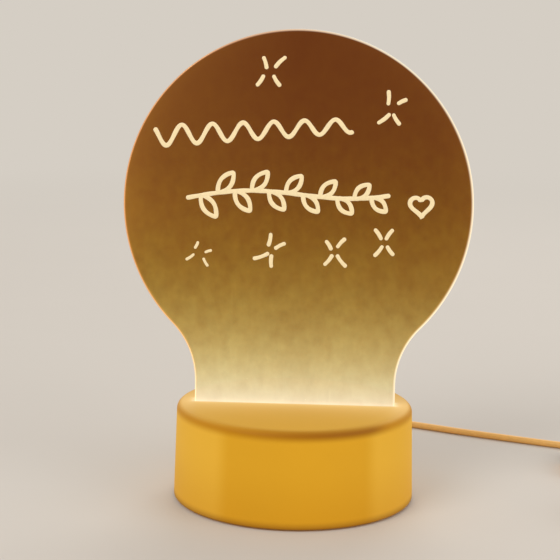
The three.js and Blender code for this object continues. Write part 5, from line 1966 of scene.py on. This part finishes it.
@dataclass
class InlineSwitch:
    """The push switch in the cord: two half cases, the button and the contact block."""

    place: tuple[float, float] = (0.167, 0.020)
    length: float = 0.032
    width: float = 0.013
    height: float = 0.009
    corner: float = 0.0045
    nose_width: float = 0.0066
    nose_length: float = 0.006
    nose_corner: float = 0.0014
    edge: float = 0.0013
    roof: float = 0.0015
    floor: float = 0.0012
    seam: tuple[float, float] = (0.00435, 0.00465)
    seam_chamfer: float = 0.00018
    button_radius: float = 0.0036
    button_top: float = 0.0109
    button_crown: float = 0.0006
    button_dish: float = 0.0003
    flange: tuple[float, float, float] = (0.0045, 0.0064, 0.0072)  # radius, lower and upper face
    well_edge: float = 0.0003
    pocket: tuple[float, float] = (0.0036, 0.0043)  # half width and half length of the contact block's
    case: Moulding = Moulding("switch_plastic", srgb(222, 172, 96), 0.4)
    cap: Moulding = Moulding("button_plastic", srgb(232, 226, 212), 0.34)

    def build(self, nodes: dict[str, bpy.types.Object]) -> list[bpy.types.Object]:
        """Makes the cases and the button.

        Args:
            nodes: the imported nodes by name.

        Returns:
            The pieces that sit on the cord.
        """
        upper = fit(self.upper(), self.case, "base", "housing", "switch_case_upper")
        lower = fit(self.lower(), self.case, "base", "housing", "switch_case_lower")
        button = fit(self.button(), self.cap, "button", "button", "switch_button")
        dress(nodes, ["switch_contact_block"], Moulding("contact_block_plastic", srgb(44, 44, 48), 0.45))
        return [upper, lower, button]

    def outline(self) -> np.ndarray:
        """The case seen from above: a quarter with a cubic shoulder and a round nose, mirrored twice.

        Returns:
            The outline's points.
        """
        half, nose, round_by = self.width / 2, self.nose_width / 2, self.nose_corner
        end, shoulder = self.length / 2, self.length / 2 - self.nose_length
        t = np.linspace(0, 1, 26)[:, None]
        a, b = np.array((half, shoulder - self.corner)), np.array((half, shoulder))
        c, d = np.array((nose, shoulder)), np.array((nose, end - round_by))
        curve = (1 - t) ** 3 * a + 3 * (1 - t) ** 2 * t * b + 3 * (1 - t) * t**2 * c + t**3 * d
        tip = arc((nose - round_by, end - round_by), round_by, 0.0, math.pi / 2, 12)
        quarter = np.concatenate([[(half, 0.0)], curve, tip[1:]])
        upper = np.concatenate([quarter, quarter[::-1] * np.array([-1, 1])])
        return np.concatenate([upper[:-1], -upper[:-1]])

    def upper(self) -> bpy.types.Object:
        """The upper case: its rounded roof, and the button's well with room for the button's flange.

        Returns:
            The upper case.
        """
        seam, chamfer = self.seam[1], self.seam_chamfer
        profile = np.concatenate([
            [(chamfer, seam), (0.0, seam + chamfer)], rounded_top(self.edge, self.height),
        ])
        case = loft("switch_upper_case", self.outline(), profile, at=(*self.place, 0.0))
        bore, lip = self.button_radius + FIT_GAP, self.well_edge
        well = filleted([
            (0.0, 0.0, 0.0),
            (bore + self.flange[0] - self.button_radius, 0.0, 0.0),
            (bore + self.flange[0] - self.button_radius, self.height - self.roof, 0.0),
            (bore, self.height - self.roof, 0.0),
            (bore, self.height - lip, 0.0),
            (bore + lip, self.height, 0.0),
            (bore + lip, self.height + OVERRUN, 0.0),
            (0.0, self.height + OVERRUN, 0.0),
        ])
        return carved(case, cut=[revolve("well", well, 72, at=(*self.place, 0.0))])

    def lower(self) -> bpy.types.Object:
        """The lower case: its rounded floor, and the contact block's pocket.

        Returns:
            The lower case.
        """
        seam, chamfer = self.seam[0], self.seam_chamfer
        profile = np.concatenate([
            rounded_bottom(self.edge), [(0.0, seam - chamfer), (chamfer, seam)],
        ])
        case = loft("switch_lower_case", self.outline(), profile, at=(*self.place, 0.0))
        (x, y), (across, along) = self.place, self.pocket
        low, high = (x - across, y - along, self.floor), (x + across, y + along, self.height)
        return carved(case, cut=[prism("pocket", low, high)])

    def button(self) -> bpy.types.Object:
        """The button: a flange that holds it in the case, and a cap with a shallow dish.

        Returns:
            The button.
        """
        radius, low, high = self.flange
        top, dish = self.button_top, self.button_dish
        rim = self.button_radius - 2 * self.button_crown
        bowl = np.linspace(1, 0, 10)[1:]
        hollow = np.column_stack([rim * bowl, top - dish * (1 - bowl**2)])
        corners = filleted([
            (0.0, low, 0.0),
            (radius, low, 0.0001),
            (radius, high, 0.0001),
            (self.button_radius, high, 0.0),
            (self.button_radius, top, self.button_crown),
            (rim, top, 0.0),
        ])
        return revolve("push_button", np.concatenate([corners, hollow]), 72, at=(*self.place, 0.0))


@dataclass
class UsbPlug:
    """The plug at the cord's end: the overmoulding with its relief, and the metal shell."""

    place: Point = (0.123, 0.031, 0.004)
    width: float = 0.0156
    height: float = 0.008
    length: float = 0.023
    corner: float = 0.002
    edge: float = 0.001
    relief: Relief = Relief()
    grip_length: float = 0.010
    grip_width: float = 0.008
    grip_depth: float = 0.0005
    grip_round: float = 0.0004
    shell_width: float = 0.012
    shell_height: float = 0.0045
    shell_wall: float = 0.0004
    shell_corner: float = 0.0007
    shell_seat: float = 0.003
    shell_reach: float = 0.012
    latch_size: float = 0.0022
    latch_place: float = 0.0026
    latch_setback: float = 0.0052

    def build(self, nodes: dict[str, bpy.types.Object], jacket: Jacket) -> list[bpy.types.Object]:
        """Makes the overmoulding and the shell.

        Args:
            nodes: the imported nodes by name.
            jacket: the cord's finish, which the overmoulding shares.

        Returns:
            The pieces at the cord's end.
        """
        body = fit(self.overmoulding(), jacket, "base", "cord", "plug_overmould")
        steel = Metal("plated_shell_steel", srgb(205, 206, 208), 0.24)
        shell = fit(self.shell(), steel, "base", "steel", "plug_shell")
        dress(nodes, ["plug_tongue"], Moulding("tongue_plastic", srgb(228, 226, 220), 0.4))
        contacts = [f"plug_contact_{i}" for i in range(1, 5)]
        dress(nodes, contacts, Metal("gilded_contact", srgb(226, 180, 92), 0.22))
        return [body, shell, *[nodes[name] for name in ("plug_tongue", *contacts)]]

    def overmoulding(self) -> bpy.types.Object:
        """The rounded body and its relief, with the shell's seat and the grip recess cut in.

        Returns:
            The overmoulding.
        """
        outline = rounded_rectangle(self.width, self.height, self.corner)
        profile = np.concatenate([rounded_bottom(self.edge), rounded_top(self.edge, self.length)])
        body = loft("plug_overmoulding", outline, profile, Facing.BACK, self.place)
        return carved(body, [self.tail()], [self.seat(), self.grip()])

    def tail(self) -> bpy.types.Object:
        """The relief, turned about the cord, with its root inside the body.

        Returns:
            The relief, which is joined to the body.
        """
        ringed = [(radius, -along, fillet) for radius, along, fillet in self.relief.corners()[:0:-1]]
        root = [(self.relief.root, ROOT_OVERLAP, 0.0), (0.0, ROOT_OVERLAP, 0.0)]
        return revolve("relief", filleted(ringed + root, 6), 64, Facing.BACK, self.place)

    def seat(self) -> bpy.types.Object:
        """The hollow that the metal shell sits in, wider by the gap all round.

        Returns:
            The solid that is cut away.
        """
        outline = rounded_rectangle(
            self.shell_width + 2 * FIT_GAP, self.shell_height + 2 * FIT_GAP, self.shell_corner + FIT_GAP
        )
        floor = self.length - self.shell_seat - FIT_GAP
        depth = np.array([(0.0, floor), (0.0, self.length + OVERRUN)])
        return loft("seat", outline, depth, Facing.BACK, self.place)

    def grip(self) -> bpy.types.Object:
        """The thumb's recess: an ellipse whose floor is rounded into its wall.

        Returns:
            The solid that is cut away.
        """
        x, y, z = self.place
        ellipse = circle(1.0, 72) * np.array([self.grip_width / 2, self.grip_length / 2])
        top = z + self.height / 2
        swing = np.linspace(0, math.pi / 2, 7)
        inset = self.grip_round * (1 - np.sin(swing))
        rise = top - self.grip_depth + self.grip_round * (1 - np.cos(swing))
        bowl = np.concatenate([np.column_stack([inset, rise]), [(0.0, top + OVERRUN)]])
        return loft("grip", ellipse, bowl, at=(x, y + self.length / 2, 0.0))

    def shell(self) -> bpy.types.Object:
        """The folded shell: a thin wall round a rounded rectangle, with two latch holes on each face.

        Returns:
            The shell.
        """
        x, y, z = self.place
        start = y + self.length - self.shell_seat
        length, wall = self.shell_seat + self.shell_reach, self.shell_wall
        edge = wall / 4
        profile = np.array([
            (0.0, 0.0), (0.0, length - edge), (edge, length), (wall - edge, length), (wall, length - edge),
            (wall, 0.0),
        ])
        outline = rounded_rectangle(self.shell_width, self.shell_height, self.shell_corner)
        made = loft("plug_metal_shell", outline, profile, Facing.BACK, (x, start, z), ring=True)
        half, middle = self.latch_size / 2, start + length - self.latch_setback
        holes = []
        for across in (x - self.latch_place, x + self.latch_place):
            low = (across - half, middle - half, z - self.shell_height)
            holes.append(prism("latch", low, (across + half, middle + half, z + self.shell_height)))
        return carved(made, cut=holes)


def main() -> None:
    """Builds the studio and every piece."""
    logging.basicConfig(level=logging.INFO, format="%(message)s")
    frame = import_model()
    nodes = frame["nodes"]
    Studio().build()
    cord = Cord()
    run_piece, tail_piece, run, tail = cord.build()
    strap = fit(cord.tie(), Strap(), "base", "tie", "coil_tie")
    gland = CordEntry().build(cord.jacket)
    switch = InlineSwitch().build(nodes)
    plug = UsbPlug().build(nodes, cord.jacket)
    WritingPanel().build()
    Housing().build(nodes)
    LightUnit().build(nodes)


if __name__ == "__main__":
    main()
